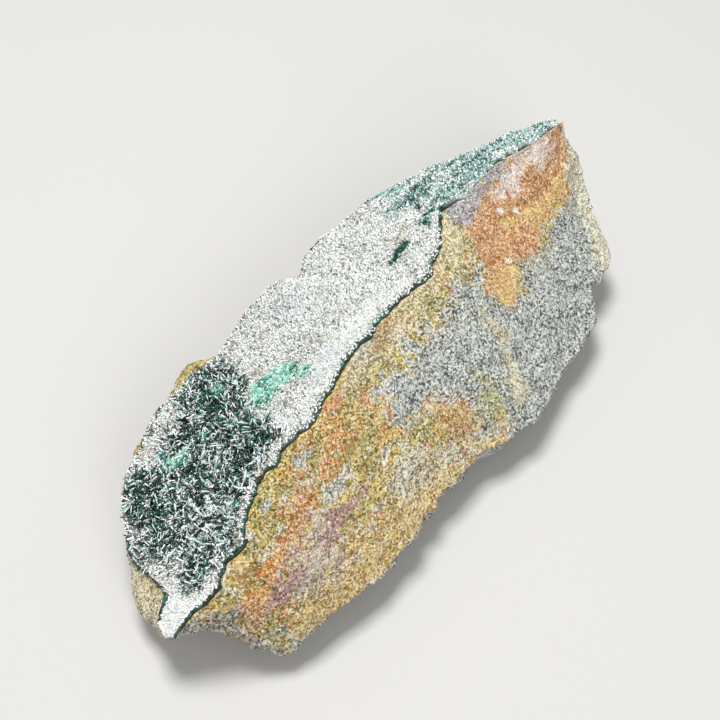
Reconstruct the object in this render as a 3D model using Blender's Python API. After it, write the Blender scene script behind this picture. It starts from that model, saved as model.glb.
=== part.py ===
"""Epidote crystal cluster on its host rock.

A hand specimen: a long wedge of skarn, broken on every side, with one thin crust of grown-together
epidote over its upper left face. The crust is fine druse for most of its length and turns into a bed
of coarse prisms near the tail.

Metres, +Z up. +X runs along the specimen from the blunt tail to the pointed tip, +Y is the crust side
and -Y the bare rock side. The specimen lies on the flat break under its belly.
"""

import math
import random

import bpy
import numpy as np
from mathutils import Matrix, Vector, noise

MM = 0.001

# Driving dimensions, in millimetres
CRUST_EDGE = 1.1  # thickness of the crust where it is broken off
CRUST_MIDDLE = 2.4  # thickness of the crust in the middle of its face
GAP = 0.3  # clearance between the crust and the rock it sits on
CRYSTAL_LENGTH = (3.2, 5.4)  # shortest and longest coarse prism
CRYSTAL_WIDTH = (1.1, 1.9)
CRYSTAL_SPACING = 2.1  # least distance between the roots of two prisms
ROOT_DEPTH = 0.7  # how far the foot of a prism is sunk in the crust
ROOT_THICKNESS = 1.7  # the crust is at least this thick where a prism stands

CRYSTAL_COUNT = 150
STATIONS = 66  # cross-sections between the tail and the tip
SEED = 11

# The rock's edges run from the tail to the tip. Each is a line of corners, (x, y, z) in millimetres.
SHOULDER = [  # left edge of the rock, where it turns down beside the crust or under it
    (-77.5, 0.5, 11.5), (-76, 3.5, 9.5), (-74.5, 6, 9), (-74, 10, 8), (-72, 13, 8), (-70, 14.5, 9.5),
    (-68.5, 15.5, 11), (-65, 19.5, 11), (-58, 25, 13), (-52, 29, 14), (-46, 30, 15), (-36.5, 32.5, 16),
    (-27.5, 34, 17), (-22.5, 35.5, 17), (-18.5, 34.5, 17), (-15, 32, 17), (-12.5, 29.5, 17.5),
    (2.5, 30, 19), (8.5, 29, 19.5), (13, 24.5, 19.5), (20, 27, 19.5), (28, 27, 20), (36, 24.5, 20.5),
    (54, 18, 21.5), (65, 11, 22.5), (79, 2.5, 24), (84, -4, 28), (86, -7, 29.5),
]
RIM = [  # left edge of the crust
    (-78, 0.5, 14), (-76, 3.5, 13), (-74, 5, 13), (-71.5, 5.5, 14.5), (-70, 6.5, 14.5), (-69, 8.5, 14.5),
    (-67.5, 14, 14), (-67, 16, 13.5), (-65, 19.5, 14), (-58.5, 25, 16), (-52.5, 29, 17.5), (-46.5, 30, 18),
    (-36.5, 32.5, 19), (-33.5, 33, 19.5), (-31, 32, 19.5), (-24, 31.5, 20), (-16.5, 29.5, 20.5),
    (-3.5, 30, 21.5), (5.5, 30, 22), (9, 29, 22.5), (13, 24.5, 22.5), (16.5, 26, 22.5), (20, 27.5, 22.5),
    (27.5, 27.5, 23), (36, 25, 23.5), (41, 22.5, 24), (54, 18.5, 24.5), (59.5, 15.5, 25), (61, 13, 25),
    (65, 11, 25.5), (79, 2.5, 27), (81, -0.5, 28), (84, -3.5, 29), (86, -6.5, 31),
]
RIDGE = [  # where the crust breaks off and the bare rock face begins
    (-77.5, -1.5, 15.5), (-77, -1.5, 16), (-76, -2.5, 18), (-72.5, -3.5, 20.5), (-71, -5.5, 22),
    (-67.5, -7.5, 26), (-66, -6, 27), (-63.5, -6.5, 28.5), (-61, -8, 30.5), (-59, -8, 32.5),
    (-57, -6.5, 33.5), (-49, -5, 35.5), (-45.5, -4, 36), (-44, -6, 37), (-41, -5, 38), (-31, -7, 38),
    (-25.5, -6.5, 38.5), (-11, -5, 38.5), (-6, -5.5, 38.5), (-1.5, -5, 38.5), (6, -6.5, 38.5), (17, -8, 38),
    (25.5, -6, 38), (38, -1, 38), (44, -3.5, 38), (52, -3.5, 38), (59.5, -4, 37), (74, -8, 35),
    (84.5, -9, 33),
]
BROW = [  # right edge of the bare face, which overhangs the table
    (-77, -1.5, 13.5), (-73.5, -3, 15), (-72, -6, 15), (-70, -9, 14), (-67, -15.5, 11), (-66, -18.5, 9),
    (-64, -21, 8), (-62, -23, 8), (-58, -24, 9), (-45, -28.5, 10), (-38, -30, 10), (-30, -30.5, 11),
    (-24.5, -30, 11), (-21, -31, 10.5), (-18.5, -31.5, 10.5), (-16.5, -31, 11), (-13.5, -32, 11),
    (-6.5, -33.5, 11), (-2, -34, 11), (0, -36, 11), (5.5, -37.5, 11), (8.5, -39.5, 11), (11, -40.5, 11),
    (29.5, -39.5, 11), (37, -40, 11), (44.5, -40, 11), (49, -38.5, 11.5), (54, -35, 12), (65.5, -35, 12),
    (69, -33.5, 12), (73.5, -27.5, 14), (78, -23, 16), (83.5, -18.5, 19), (86, -16, 21), (86.5, -13, 23.5),
    (87, -10.5, 27), (87, -9.5, 30.5),
]
FOOT_RIGHT = [  # right edge of the flat break that the specimen lies on
    (-73, 0, 9), (-65, -6, 6), (-57, -12, 1.5), (-50, -15, 0), (-30, -19, 0), (0, -24, 0), (30, -25, 0),
    (46, -23, 0), (56, -19, 1), (66, -18, 4), (76, -14, 10.5), (83, -11, 18), (85.5, -9, 27),
]
FOOT_LEFT = [  # left edge of the same break
    (-73, 1.5, 8.5), (-68, 4, 5), (-62, 7, 1), (-54, 11, 0), (-30, 20, 0), (0, 22, 0), (25, 20, 0),
    (44, 14, 0), (56, 8, 0), (66, 3, 4), (76, -2, 11), (83, -7, 19), (85.5, -8, 27),
]

# The broken edge below the brow, against x: its height, and how far its lower side is set back
BROW_EDGE = [
    (-78, 1, 0), (-72.5, 0.5, 0), (-70.5, 2.5, 0), (-68.5, 4, 0), (-65, 3, 0), (-60, 2, 1), (87, 1.5, 0.5),
]

# How far each side swells out between its two edges, against x. Less than nothing is a hollow.
UPPER_SWELL = [(-78, 0), (-66, -0.6), (-50, -1.8), (-32, -1.4), (-18, 0.4), (5, 1.2), (60, 1.8), (86, 0)]
FACE_SWELL = [
    (-78, 0), (-62, 1.6), (-40, 1.8), (-15, 0.6), (10, 1.6), (34, 1.2), (52, -0.8), (68, -1.6), (86, 0),
]
UNDER_SWELL = [(-78, 0), (-66, 0), (-45, 2.2), (50, 2.4), (70, 1), (86, 0)]

# The way out of the specimen on each side
GROWTH = np.array([0.0, 0.42, 0.907])  # upper face; the crust grew this way
FACE_OUT = np.array([0.0, -0.6, 0.8])
UNDER_OUT = np.array([0.0, -0.9, -0.4])
FLANK_OUT = np.array([0.0, 1.0, -0.1])

# Grid steps between one edge and the next, going round from the shoulder
SHOULDER_STEPS, UPPER_STEPS, FACE_STEPS, EDGE_STEPS = 1, 8, 9, 1
UNDER_STEPS, BASE_STEPS, FLANK_STEPS = 3, 2, 3
RIM_COLUMN = SHOULDER_STEPS
RIDGE_COLUMN = RIM_COLUMN + UPPER_STEPS
BROW_COLUMN = RIDGE_COLUMN + FACE_STEPS
HEM_COLUMN = BROW_COLUMN + EDGE_STEPS
UPPER = slice(RIM_COLUMN, RIDGE_COLUMN + 1)
FACE = slice(RIDGE_COLUMN + 1, BROW_COLUMN)

# Broken relief: chips, each a flat patch with a slope of its own, and a finer roughness over them
CHIP_SIZE = 13.0
CHIP_SLOPE_ABOVE, CHIP_SLOPE_BELOW = 0.07, 0.2  # on the two upper sides, and on the breaks below them
ROUGH_SIZE, ROUGH_HEIGHT = 5.5, 0.45
DEEPEST, HIGHEST = -1.6, 1.3  # limits of the relief
FLAT_BELOW = 5.0  # the relief dies away over this height above the table
MOUND_SIZE, MOUND_HEIGHT = 8.0, 0.55  # the crust's own low mounds

# The bed of coarse prisms, an ellipse on the crust seen from above
BED_X, BED_Y, BED_HALF_X, BED_HALF_Y = -45.0, 11.0, 24.0, 17.0
LEAN = (0.3, 0.85)  # least and greatest lean of a prism, as a share of its upright part
PRISM_FLATNESS = 0.62  # thickness of a prism as a share of its width
CHISEL_SHARE = 0.18  # the part of a prism's length that its chisel end takes

ROCK_COLOUR, ROCK_ROUGHNESS = (0.44, 0.37, 0.22, 1.0), 0.9
EPIDOTE_COLOUR, EPIDOTE_ROUGHNESS = (0.10, 0.22, 0.17, 1.0), 0.3


def clear_scene():
    for old in list(bpy.data.objects):
        bpy.data.objects.remove(old)


def principled(name, colour, roughness):
    material = bpy.data.materials.new(name)
    material.use_nodes = True
    shader = material.node_tree.nodes["Principled BSDF"]
    shader.inputs["Base Color"].default_value = colour
    shader.inputs["Roughness"].default_value = roughness
    shader.inputs["Metallic"].default_value = 0.0
    material.diffuse_color = colour
    return material


def new_object(name, points_mm, faces, material=None):
    """One mesh object from points in millimetres."""
    mesh = bpy.data.meshes.new(name)
    mesh.from_pydata([tuple(p) for p in np.asarray(points_mm) * MM], [], faces)
    mesh.update()
    if material:
        mesh.materials.append(material)
    made = bpy.data.objects.new(name, mesh)
    bpy.context.scene.collection.objects.link(made)
    return made


def along(edge, shares):
    """Points at these shares of an edge. A stretch counts by its run in X and a third of its run in Y and Z."""
    corners = np.array(edge, float)
    steps = np.abs(np.diff(corners, axis=0)) @ np.array([1.0, 0.33, 0.33])
    at = np.concatenate([[0.0], np.cumsum(steps)])
    return np.stack([np.interp(shares * at[-1], at, corners[:, k]) for k in range(3)], 1)


def station_shares():
    """Shares of the length from 0 to 1, closer together towards both ends."""
    even = np.linspace(0.0, 1.0, STATIONS)
    return even - 0.045 * np.sin(2 * np.pi * even)


def from_table(table, x, column=1):
    return np.interp(x, [row[0] for row in table], [row[column] for row in table])


def strip(start, end, steps, swell=0.0, out=GROWTH):
    """Grid columns from one edge up to the next, the last left out, swollen along out in the middle."""
    share = np.arange(steps) / steps
    flat = start[:, None] * (1 - share)[None, :, None] + end[:, None] * share[None, :, None]
    arch = 4 * share * (1 - share)
    return flat + (np.broadcast_to(swell, len(start))[:, None] * arch)[:, :, None] * out


def skin_grid():
    """The specimen's outer skin with no relief yet: an array of stations by columns by XYZ, in millimetres."""
    shares = station_shares()
    shoulder, rim, ridge, brow = (along(edge, shares) for edge in (SHOULDER, RIM, RIDGE, BROW))
    foot_right, foot_left = along(FOOT_RIGHT, shares), along(FOOT_LEFT, shares)
    drop, set_back = from_table(BROW_EDGE, brow[:, 0], 1), from_table(BROW_EDGE, brow[:, 0], 2)
    hem = brow + np.stack([0 * drop, set_back, -drop], 1)
    under_swell = from_table(UNDER_SWELL, foot_left[:, 0])
    return np.concatenate([
        strip(shoulder, rim, SHOULDER_STEPS),
        strip(rim, ridge, UPPER_STEPS, from_table(UPPER_SWELL, ridge[:, 0]), GROWTH),
        strip(ridge, brow, FACE_STEPS, from_table(FACE_SWELL, brow[:, 0]), FACE_OUT),
        strip(brow, hem, EDGE_STEPS),
        strip(hem, foot_right, UNDER_STEPS, under_swell, UNDER_OUT),
        strip(foot_right, foot_left, BASE_STEPS),
        strip(foot_left, shoulder, FLANK_STEPS, under_swell, FLANK_OUT),
    ], 1)


def grid_normals(grid):
    """Unit normals that point out of the skin, from the two grid directions."""
    lengthways = np.gradient(grid, axis=0)
    around = (np.roll(grid, -1, axis=1) - np.roll(grid, 1, axis=1)) / 2
    across = np.cross(around, lengthways)
    size = np.linalg.norm(across, axis=2, keepdims=True)
    return across / np.maximum(size, 1e-9)


def chip_height(point, slope):
    """Height of the chip under a point. Each cell of a Voronoi pattern is a plane with a tilt of its own."""
    _, nearest = noise.voronoi(point / CHIP_SIZE)
    middle = nearest[0]
    tilt = noise.cell_vector(middle * 7.3) * 2 - Vector((1, 1, 1))
    return tilt.dot(point - middle * CHIP_SIZE) * slope


def roughness(point):
    return noise.fractal(point / ROUGH_SIZE, 1.0, 2.0, 3) * ROUGH_HEIGHT


def relief(grid):
    """How far the broken surface stands out at each grid point, in millimetres."""
    slopes = np.full(grid.shape[1], CHIP_SLOPE_BELOW)
    slopes[:HEM_COLUMN + 1] = CHIP_SLOPE_ABOVE
    heights = [[chip_height(Vector(p), slope) + roughness(Vector(p)) for p, slope in zip(row, slopes)]
               for row in grid]
    return np.clip(heights, DEEPEST, HIGHEST)


def roughened(grid):
    """The skin with its broken relief. The flat break underneath stays flat, and the ends stay narrow."""
    off_the_base = np.clip(grid[:, :, 2] / FLAT_BELOW, 0.0, 1.0)
    off_the_ends = np.sin(np.pi * np.linspace(0, 1, len(grid))) ** 0.5
    height = relief(grid) * off_the_base * off_the_ends[:, None]
    rough = grid + grid_normals(grid) * height[:, :, None]
    rough[:, :, 2] = np.maximum(rough[:, :, 2], 0.0)
    return rough


def crust_depth():
    """Thickness of the crust at each grid point of the upper face, thin at its broken edges."""
    lengthways = np.clip(3.0 * np.sin(np.pi * np.linspace(0, 1, STATIONS)), 0, 1)
    across = np.clip(1.6 * np.sin(np.pi * np.linspace(0, 1, UPPER_STEPS + 1)), 0, 1)
    return CRUST_EDGE + (CRUST_MIDDLE - CRUST_EDGE) * lengthways[:, None] * across[None, :]


def two_triangles(a, b, c, d):
    """A grid square cut along the same diagonal in every surface, so that layers a gap apart never cross."""
    return [(a, b, c), (a, c, d)]


def closed_loft(grid):
    """Points and faces of a skin whose columns close on themselves. Each end closes in a fan."""
    stations, columns = grid.shape[:2]
    points = list(grid.reshape(-1, 3))
    faces = []
    for i in range(stations - 1):
        for j in range(columns):
            here, beside = i * columns + j, i * columns + (j + 1) % columns
            faces += two_triangles(here, beside, beside + columns, here + columns)
    for ring, turned in ((0, True), (stations - 1, False)):
        middle = len(points)
        points.append(grid[ring].mean(0))
        for j in range(columns):
            side = [ring * columns + j, ring * columns + (j + 1) % columns]
            faces.append((*(side[::-1] if turned else side), middle))
    return points, faces


def host_rock(skin, depth, material):
    """The rock: the whole skin, let down under the crust by the crust's thickness and the gap.

    The bare face starts from the edge that was let down and meets the old skin at the brow.
    """
    grid = skin.copy()
    grid[:, UPPER] -= GROWTH * (depth + GAP)[:, :, None]
    fade = 1 - np.arange(1, FACE_STEPS) / FACE_STEPS
    grid[:, FACE] -= GROWTH * (CRUST_EDGE + GAP) * fade[:, None]
    points, faces = closed_loft(grid)
    return new_object("host_rock", points, faces, material)


def crust_top(skin, depth):
    """The crust's outer side: the skin with low mounds on it, which die away at the broken edges."""
    outer = skin[:, UPPER]
    mounds = np.array([[noise.noise(Vector(p) / MOUND_SIZE) for p in row] for row in outer])
    inside = np.clip((depth - CRUST_EDGE) / (CRUST_MIDDLE - CRUST_EDGE), 0.25, 1.0)
    return outer + GROWTH * (mounds * MOUND_HEIGHT * inside)[:, :, None]


def crust_slab(top, under, material):
    """The crust as a closed slab between its top and its underside."""
    rows, columns = top.shape[:2]
    points = np.concatenate([top.reshape(-1, 3), under.reshape(-1, 3)])
    lower = rows * columns
    faces = []
    for i in range(rows - 1):
        for j in range(columns - 1):
            here = i * columns + j
            above = two_triangles(here, here + 1, here + 1 + columns, here + columns)
            faces += above + [tuple(corner + lower for corner in reversed(face)) for face in above]
    border = [i * columns for i in range(rows - 1)]
    border += [(rows - 1) * columns + j for j in range(columns - 1)]
    border += [i * columns + columns - 1 for i in range(rows - 1, 0, -1)]
    border += list(range(columns - 1, 0, -1))
    for a, b in zip(border, border[1:] + border[:1]):
        faces.append((a, b, b + lower, a + lower))
    return new_object("epidote_crust", points, faces, material)


def prism(foot, direction, length, width, roll):
    """Corners and faces of one epidote prism: a flattened four-sided column with a chisel end."""
    turn = direction.to_track_quat("Z", "Y").to_matrix() @ Matrix.Rotation(roll, 3, "Z")
    half, thin = width / 2, width / 2 * PRISM_FLATNESS
    section = [(half, 0.18 * thin), (0.25 * half, thin), (-half, -0.18 * thin), (-0.25 * half, -thin)]
    low = [Vector((x, y, 0)) for x, y in section]
    high = [Vector((x, y, length * (1 - CHISEL_SHARE))) for x, y in section]
    chisel = [Vector((half * 0.45, 0, length)), Vector((-half * 0.45, 0, length * 0.97))]
    corners = [foot + turn @ p for p in low + high + chisel]
    faces = [(3, 2, 1, 0)]
    faces += [(i, (i + 1) % 4, 4 + (i + 1) % 4, 4 + i) for i in range(4)]
    faces += [(4, 5, 8), (5, 6, 9, 8), (6, 7, 9), (7, 4, 8, 9)]
    return corners, faces


def in_bed(point):
    """How far a point is inside the coarse bed: 1 at its centre, 0 and less outside it."""
    return 1 - math.hypot((point[0] - BED_X) / BED_HALF_X, (point[1] - BED_Y) / BED_HALF_Y)


def bed_roots(top, normals, depth, rng):
    """Where the coarse prisms stand: points spread over the bed, each with the crust's normal there."""
    rows, columns = top.shape[:2]
    thickness = depth * (normals @ GROWTH)
    roots = []
    while len(roots) < CRYSTAL_COUNT:
        i, j = rng.randrange(1, rows - 2), rng.randrange(1, columns - 2)
        u, v = rng.random(), rng.random()
        near = top[i, j] * (1 - v) + top[i, j + 1] * v
        far = top[i + 1, j] * (1 - v) + top[i + 1, j + 1] * v
        spot = Vector(near * (1 - u) + far * u)
        crowded = any((spot - other).length < CRYSTAL_SPACING for other, _ in roots)
        if in_bed(spot) > 0 and thickness[i, j] > ROOT_THICKNESS and not crowded:
            roots.append((spot, Vector(normals[i, j])))
    return roots


def coarse_prisms(roots, rng):
    """All coarse prisms as one mesh. Each leans a random way, and those at the bed's edge are shorter."""
    points, faces = [], []
    for spot, normal in roots:
        lean = Vector((rng.gauss(0, 1), rng.gauss(0, 1), rng.gauss(0, 1))).normalized()
        direction = (normal + lean * rng.uniform(*LEAN)).normalized()
        length = rng.uniform(*CRYSTAL_LENGTH) * (0.65 + 0.35 * min(1, 2 * in_bed(spot)))
        width, roll = rng.uniform(*CRYSTAL_WIDTH), rng.uniform(0, math.pi)
        corners, sides = prism(spot - direction * ROOT_DEPTH, direction, length, width, roll)
        faces += [tuple(len(points) + k for k in side) for side in sides]
        points += corners
    return new_object("coarse_prisms", [tuple(p) for p in points], faces)


def fuse(target, tool):
    """Joins tool to target in one solid. The prisms in tool cross one another, so use_self is on."""
    tool.hide_render = True
    tool.display_type = "WIRE"
    join = target.modifiers.new("grown_together", "BOOLEAN")
    join.operation = "UNION"
    join.solver = "EXACT"
    join.use_self = True
    join.object = tool


def settle_origin(pieces, tool):
    """Parents everything to an empty, so that the origin is the middle of the footprint, on the table."""
    bpy.context.view_layer.update()
    graph = bpy.context.evaluated_depsgraph_get()
    corners = np.array([tuple(corner) for piece in pieces for corner in piece.evaluated_get(graph).bound_box])
    low, high = corners.min(0), corners.max(0)
    specimen = bpy.data.objects.new("specimen", None)
    bpy.context.scene.collection.objects.link(specimen)
    specimen.location = (-(low[0] + high[0]) / 2, -(low[1] + high[1]) / 2, -low[2])
    for part in pieces + [tool]:
        part.parent = specimen


def main():
    clear_scene()
    rng = random.Random(SEED)
    skin = roughened(skin_grid())
    depth = crust_depth()
    rock = host_rock(skin, depth, principled("skarn", ROCK_COLOUR, ROCK_ROUGHNESS))
    top = crust_top(skin, depth)
    under = skin[:, UPPER] - GROWTH * depth[:, :, None]
    crust = crust_slab(top, under, principled("epidote", EPIDOTE_COLOUR, EPIDOTE_ROUGHNESS))
    roots = bed_roots(top, grid_normals(skin)[:, UPPER], depth, rng)
    prisms = coarse_prisms(roots, rng)
    fuse(crust, prisms)
    settle_origin([rock, crust], prisms)


main()
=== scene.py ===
# %% [markdown]
# # An epidote crystal cluster on its host rock
# The specimen is a long wedge of broken skarn. A thin crust of epidote covers its upper left face: pale,
# fine druse (a coat of tiny crystals) along most of it, whose white is painted reflection, and a bed of dark
# green needles near the tail.
# The solid model gives the big shapes. This lesson grows the surfaces on it: the grainy rock with its
# rust stains, the broken crust, and every crystal that the eye can part.

import bmesh
import bpy
import numpy as np
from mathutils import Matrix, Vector


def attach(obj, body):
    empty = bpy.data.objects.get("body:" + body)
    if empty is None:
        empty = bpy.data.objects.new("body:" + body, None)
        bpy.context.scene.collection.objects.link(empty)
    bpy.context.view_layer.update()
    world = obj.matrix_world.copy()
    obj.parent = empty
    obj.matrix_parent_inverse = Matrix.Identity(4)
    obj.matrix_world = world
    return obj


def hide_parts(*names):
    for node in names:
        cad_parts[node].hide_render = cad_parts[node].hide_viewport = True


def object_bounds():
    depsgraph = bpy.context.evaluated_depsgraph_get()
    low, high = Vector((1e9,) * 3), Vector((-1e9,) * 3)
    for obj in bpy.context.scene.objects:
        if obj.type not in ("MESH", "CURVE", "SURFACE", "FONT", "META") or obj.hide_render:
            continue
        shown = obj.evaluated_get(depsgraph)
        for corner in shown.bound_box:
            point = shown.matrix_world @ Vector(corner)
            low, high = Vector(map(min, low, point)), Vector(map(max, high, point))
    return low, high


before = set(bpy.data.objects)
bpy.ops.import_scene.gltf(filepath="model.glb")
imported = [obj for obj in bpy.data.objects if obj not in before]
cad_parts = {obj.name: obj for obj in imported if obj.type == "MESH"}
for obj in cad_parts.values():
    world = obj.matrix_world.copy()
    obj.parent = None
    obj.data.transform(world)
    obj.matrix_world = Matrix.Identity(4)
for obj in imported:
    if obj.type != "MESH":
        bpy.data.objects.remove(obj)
solid_box = [list(corner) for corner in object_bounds()]
print("solid model, lowest and highest corner:", solid_box)

MM = 0.001
SEED = 7
rng = np.random.default_rng(SEED)

# %% [markdown]
# ## A drawing in millimetres
# Places on the specimen are easiest to name in the drawing that the solids were made from: X runs from
# the blunt tail to the pointed tip, Y to the crust side, Z up, all in millimetres. The solids stand a
# little beside that drawing, because their origin is the middle of the footprint. One pair of
# functions goes from the one to the other.

# %% From the drawing to the specimen and back
DRAWING_TO_SPECIMEN = np.array([-4.5, 2.56, 0.0])
BOX_MARGIN = 0.01  # mm that every point stays inside the solid model's box


def to_metres(drawn):
    """Drawing millimetres to specimen metres: add the offset, then divide by a thousand."""
    return (np.asarray(drawn) + DRAWING_TO_SPECIMEN) * MM


def to_drawing(metres):
    """Specimen metres to drawing millimetres."""
    return np.asarray(metres) / MM - DRAWING_TO_SPECIMEN


def inside_box(drawn):
    """The same points, held a hair inside the solid model's box."""
    low, high = (to_drawing(corner) for corner in solid_box)
    return np.clip(drawn, low + BOX_MARGIN, high - BOX_MARGIN)


# %% [markdown]
# ## Noise made from whole arrays
# Broken stone needs randomness that is the same at each run. A hash turns the three whole numbers of a
# lattice corner into one random share. Blended between corners it is smooth noise; with one random
# point in each cube it gives cells, which look like packed mineral grains.


# %% Noise
def random_share(corner, seed):
    """A share from 0 to 1 for each lattice corner: its three numbers times three primes, mixed by shifts."""
    c = corner.astype(np.int64)
    mixed = (c[..., 0] * 73856093) ^ (c[..., 1] * 19349663) ^ (c[..., 2] * 83492791) ^ (seed * 26544357)
    mixed = (mixed ^ (mixed >> 13)) * 1274126177
    mixed = mixed ^ (mixed >> 16)
    return (mixed & 0xFFFFFF) / 0xFFFFFF


def smooth_noise(points, size, seed=0):
    """Noise from -1 to 1: random shares at the corners of cubes of this size, blended by an S curve."""
    scaled = points / size
    corner = np.floor(scaled)
    inside = scaled - corner
    inside = inside * inside * (3 - 2 * inside)
    total = 0.0
    for step in np.ndindex(2, 2, 2):
        weight = np.prod(np.where(step, inside, 1 - inside), axis=-1)
        total = total + weight * random_share(corner + step, seed)
    return 2 * total - 1


def fractal_noise(points, size, octaves, seed=0):
    """A sum of smooth noises, each half the size and half the height of the one before."""
    heights = [smooth_noise(points, size / 2**k, seed + k) / 2**k for k in range(octaves)]
    return sum(heights)


def grain_cells(points, size, seed=0):
    """Distance to the nearest grain's centre, as a share of the size, and that grain's own random share."""
    scaled = points / size
    base = np.floor(scaled)
    nearest = np.full(points.shape[:-1], 9.0)
    own = np.zeros(points.shape[:-1])
    for step in np.ndindex(3, 3, 3):
        cube = base + np.array(step) - 1
        jitter = np.stack([random_share(cube, seed + k) for k in (1, 2, 3)], -1)
        distance = np.linalg.norm(cube + jitter - scaled, axis=-1)
        closer = distance < nearest
        nearest = np.where(closer, distance, nearest)
        own = np.where(closer, random_share(cube, seed + 4), own)
    return nearest, own


def s_curve(value):
    """0 below 0, 1 above 1, and a smooth S in between."""
    v = np.clip(value, 0, 1)
    return v * v * (3 - 2 * v)


def drawn_out(points, share):
    """The points with X pressed to this share, so that noise read there runs along the rock."""
    return points * np.array([share, 1.0, 1.0])


# %% [markdown]
# ## Zones
# Every stain and every change of crystal on the specimen is a zone: a drawn outline, seen from above,
# whose edge is pushed in and out by noise so that it never looks drawn. A crack is an open line.


# %% Zones and lines
def to_line(points, line, closed=False):
    """Distance in millimetres, seen from above, to the nearest point of a line of corners."""
    p = points[..., None, :2]
    a = np.array(line, float)
    b = np.roll(a, -1, 0)
    if not closed:
        a, b = a[:-1], b[:-1]
    side = b - a
    share = np.clip(((p - a) * side).sum(-1) / (side * side).sum(-1), 0, 1)
    return np.linalg.norm(p - a - share[..., None] * side, axis=-1).min(-1)


def depth_inside(points, outline):
    """Distance to an outline, positive inside. A point is inside if a ray from it crosses the sides an odd
    number of times."""
    x, y = points[..., None, 0], points[..., None, 1]
    a = np.array(outline, float)
    b = np.roll(a, -1, 0)
    rise = np.where(a[:, 1] == b[:, 1], 1e-9, b[:, 1] - a[:, 1])
    crossing = a[:, 0] + (b[:, 0] - a[:, 0]) * (y - a[:, 1]) / rise
    odd = (((a[:, 1] > y) != (b[:, 1] > y)) & (x < crossing)).sum(-1) % 2 == 1
    return np.where(odd, 1, -1) * to_line(points, outline, closed=True)


def zone(points, outline, soft=1.5, ragged=2.0, seed=0, offset=0.0):
    """From 0 outside an outline to 1 inside, over a soft width. Noise and an offset in mm move the edge."""
    edge = depth_inside(points, outline) + ragged * fractal_noise(points, 5.0, 4, seed) + offset
    return s_curve(edge / soft + 0.5)


def by_grain(points, size, seed):
    """One random share from -0.5 to 0.5 for each grain. As an offset it mixes two zones grain by grain."""
    return grain_cells(points, size, seed)[1] - 0.5


# %% [markdown]
# ## The specimen's edges
# A broken rock is read by its edges. Seven lines run from the tail to the tip; the skin spans from each
# to the next, and swells or sinks a little in between. They are the lines of the solid model, so
# that rows of points follow its edges.

# %% Edges
SHOULDER = [  # left edge of the rock, where it turns down beside the crust or under it
    (-77.5, 0.5, 11.5), (-76, 3.5, 9.5), (-74.5, 6, 9), (-74, 10, 8), (-72, 13, 8), (-70, 14.5, 9.5),
    (-68.5, 15.5, 11), (-65, 19.5, 11), (-58, 25, 13), (-52, 29, 14), (-46, 30, 15), (-36.5, 32.5, 16),
    (-27.5, 34, 17), (-22.5, 35.5, 17), (-18.5, 34.5, 17), (-15, 32, 17), (-12.5, 29.5, 17.5),
    (2.5, 30, 19), (8.5, 29, 19.5), (13, 24.5, 19.5), (20, 27, 19.5), (28, 27, 20), (36, 24.5, 20.5),
    (54, 18, 21.5), (65, 11, 22.5), (79, 2.5, 24), (84, -4, 28), (86, -7, 29.5),
]
RIM = [  # left edge of the crust
    (-78, 0.5, 14), (-76, 3.5, 13), (-74, 5, 13), (-71.5, 5.5, 14.5), (-70, 6.5, 14.5), (-69, 8.5, 14.5),
    (-67.5, 14, 14), (-67, 16, 13.5), (-65, 19.5, 14), (-58.5, 25, 16), (-52.5, 29, 17.5), (-46.5, 30, 18),
    (-36.5, 32.5, 19), (-33.5, 33, 19.5), (-31, 32, 19.5), (-24, 31.5, 20), (-16.5, 29.5, 20.5),
    (-3.5, 30, 21.5), (5.5, 30, 22), (9, 29, 22.5), (13, 24.5, 22.5), (16.5, 26, 22.5), (20, 27.5, 22.5),
    (27.5, 27.5, 23), (36, 25, 23.5), (41, 22.5, 24), (54, 18.5, 24.5), (59.5, 15.5, 25), (61, 13, 25),
    (65, 11, 25.5), (79, 2.5, 27), (81, -0.5, 28), (84, -3.5, 29), (86, -6.5, 31),
]
RIDGE = [  # where the crust breaks off and the bare rock face begins
    (-77.5, -1.5, 15.5), (-77, -1.5, 16), (-76, -2.5, 18), (-72.5, -3.5, 20.5), (-71, -5.5, 22),
    (-67.5, -7.5, 26), (-66, -6, 27), (-63.5, -6.5, 28.5), (-61, -8, 30.5), (-59, -8, 32.5),
    (-57, -6.5, 33.5), (-49, -5, 35.5), (-45.5, -4, 36), (-44, -6, 37), (-41, -5, 38), (-31, -7, 38),
    (-25.5, -6.5, 38.5), (-11, -5, 38.5), (-6, -5.5, 38.5), (-1.5, -5, 38.5), (6, -6.5, 38.5), (17, -8, 38),
    (25.5, -6, 38), (38, -1, 38), (44, -3.5, 38), (52, -3.5, 38), (59.5, -4, 37), (74, -8, 35),
    (84.5, -9, 33),
]
BROW = [  # right edge of the bare face, which overhangs the table
    (-77, -1.5, 13.5), (-73.5, -3, 15), (-72, -6, 15), (-70, -9, 14), (-67, -15.5, 11), (-66, -18.5, 9),
    (-64, -21, 8), (-62, -23, 8), (-58, -24, 9), (-45, -28.5, 10), (-38, -30, 10), (-30, -30.5, 11),
    (-24.5, -30, 11), (-21, -31, 10.5), (-18.5, -31.5, 10.5), (-16.5, -31, 11), (-13.5, -32, 11),
    (-6.5, -33.5, 11), (-2, -34, 11), (0, -36, 11), (5.5, -37.5, 11), (8.5, -39.5, 11), (11, -40.5, 11),
    (29.5, -39.5, 11), (37, -40, 11), (44.5, -40, 11), (49, -38.5, 11.5), (54, -35, 12), (65.5, -35, 12),
    (69, -33.5, 12), (73.5, -27.5, 14), (78, -23, 16), (83.5, -18.5, 19), (86, -16, 21), (86.5, -13, 23.5),
    (87, -10.5, 27), (87, -9.5, 30.5),
]
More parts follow.
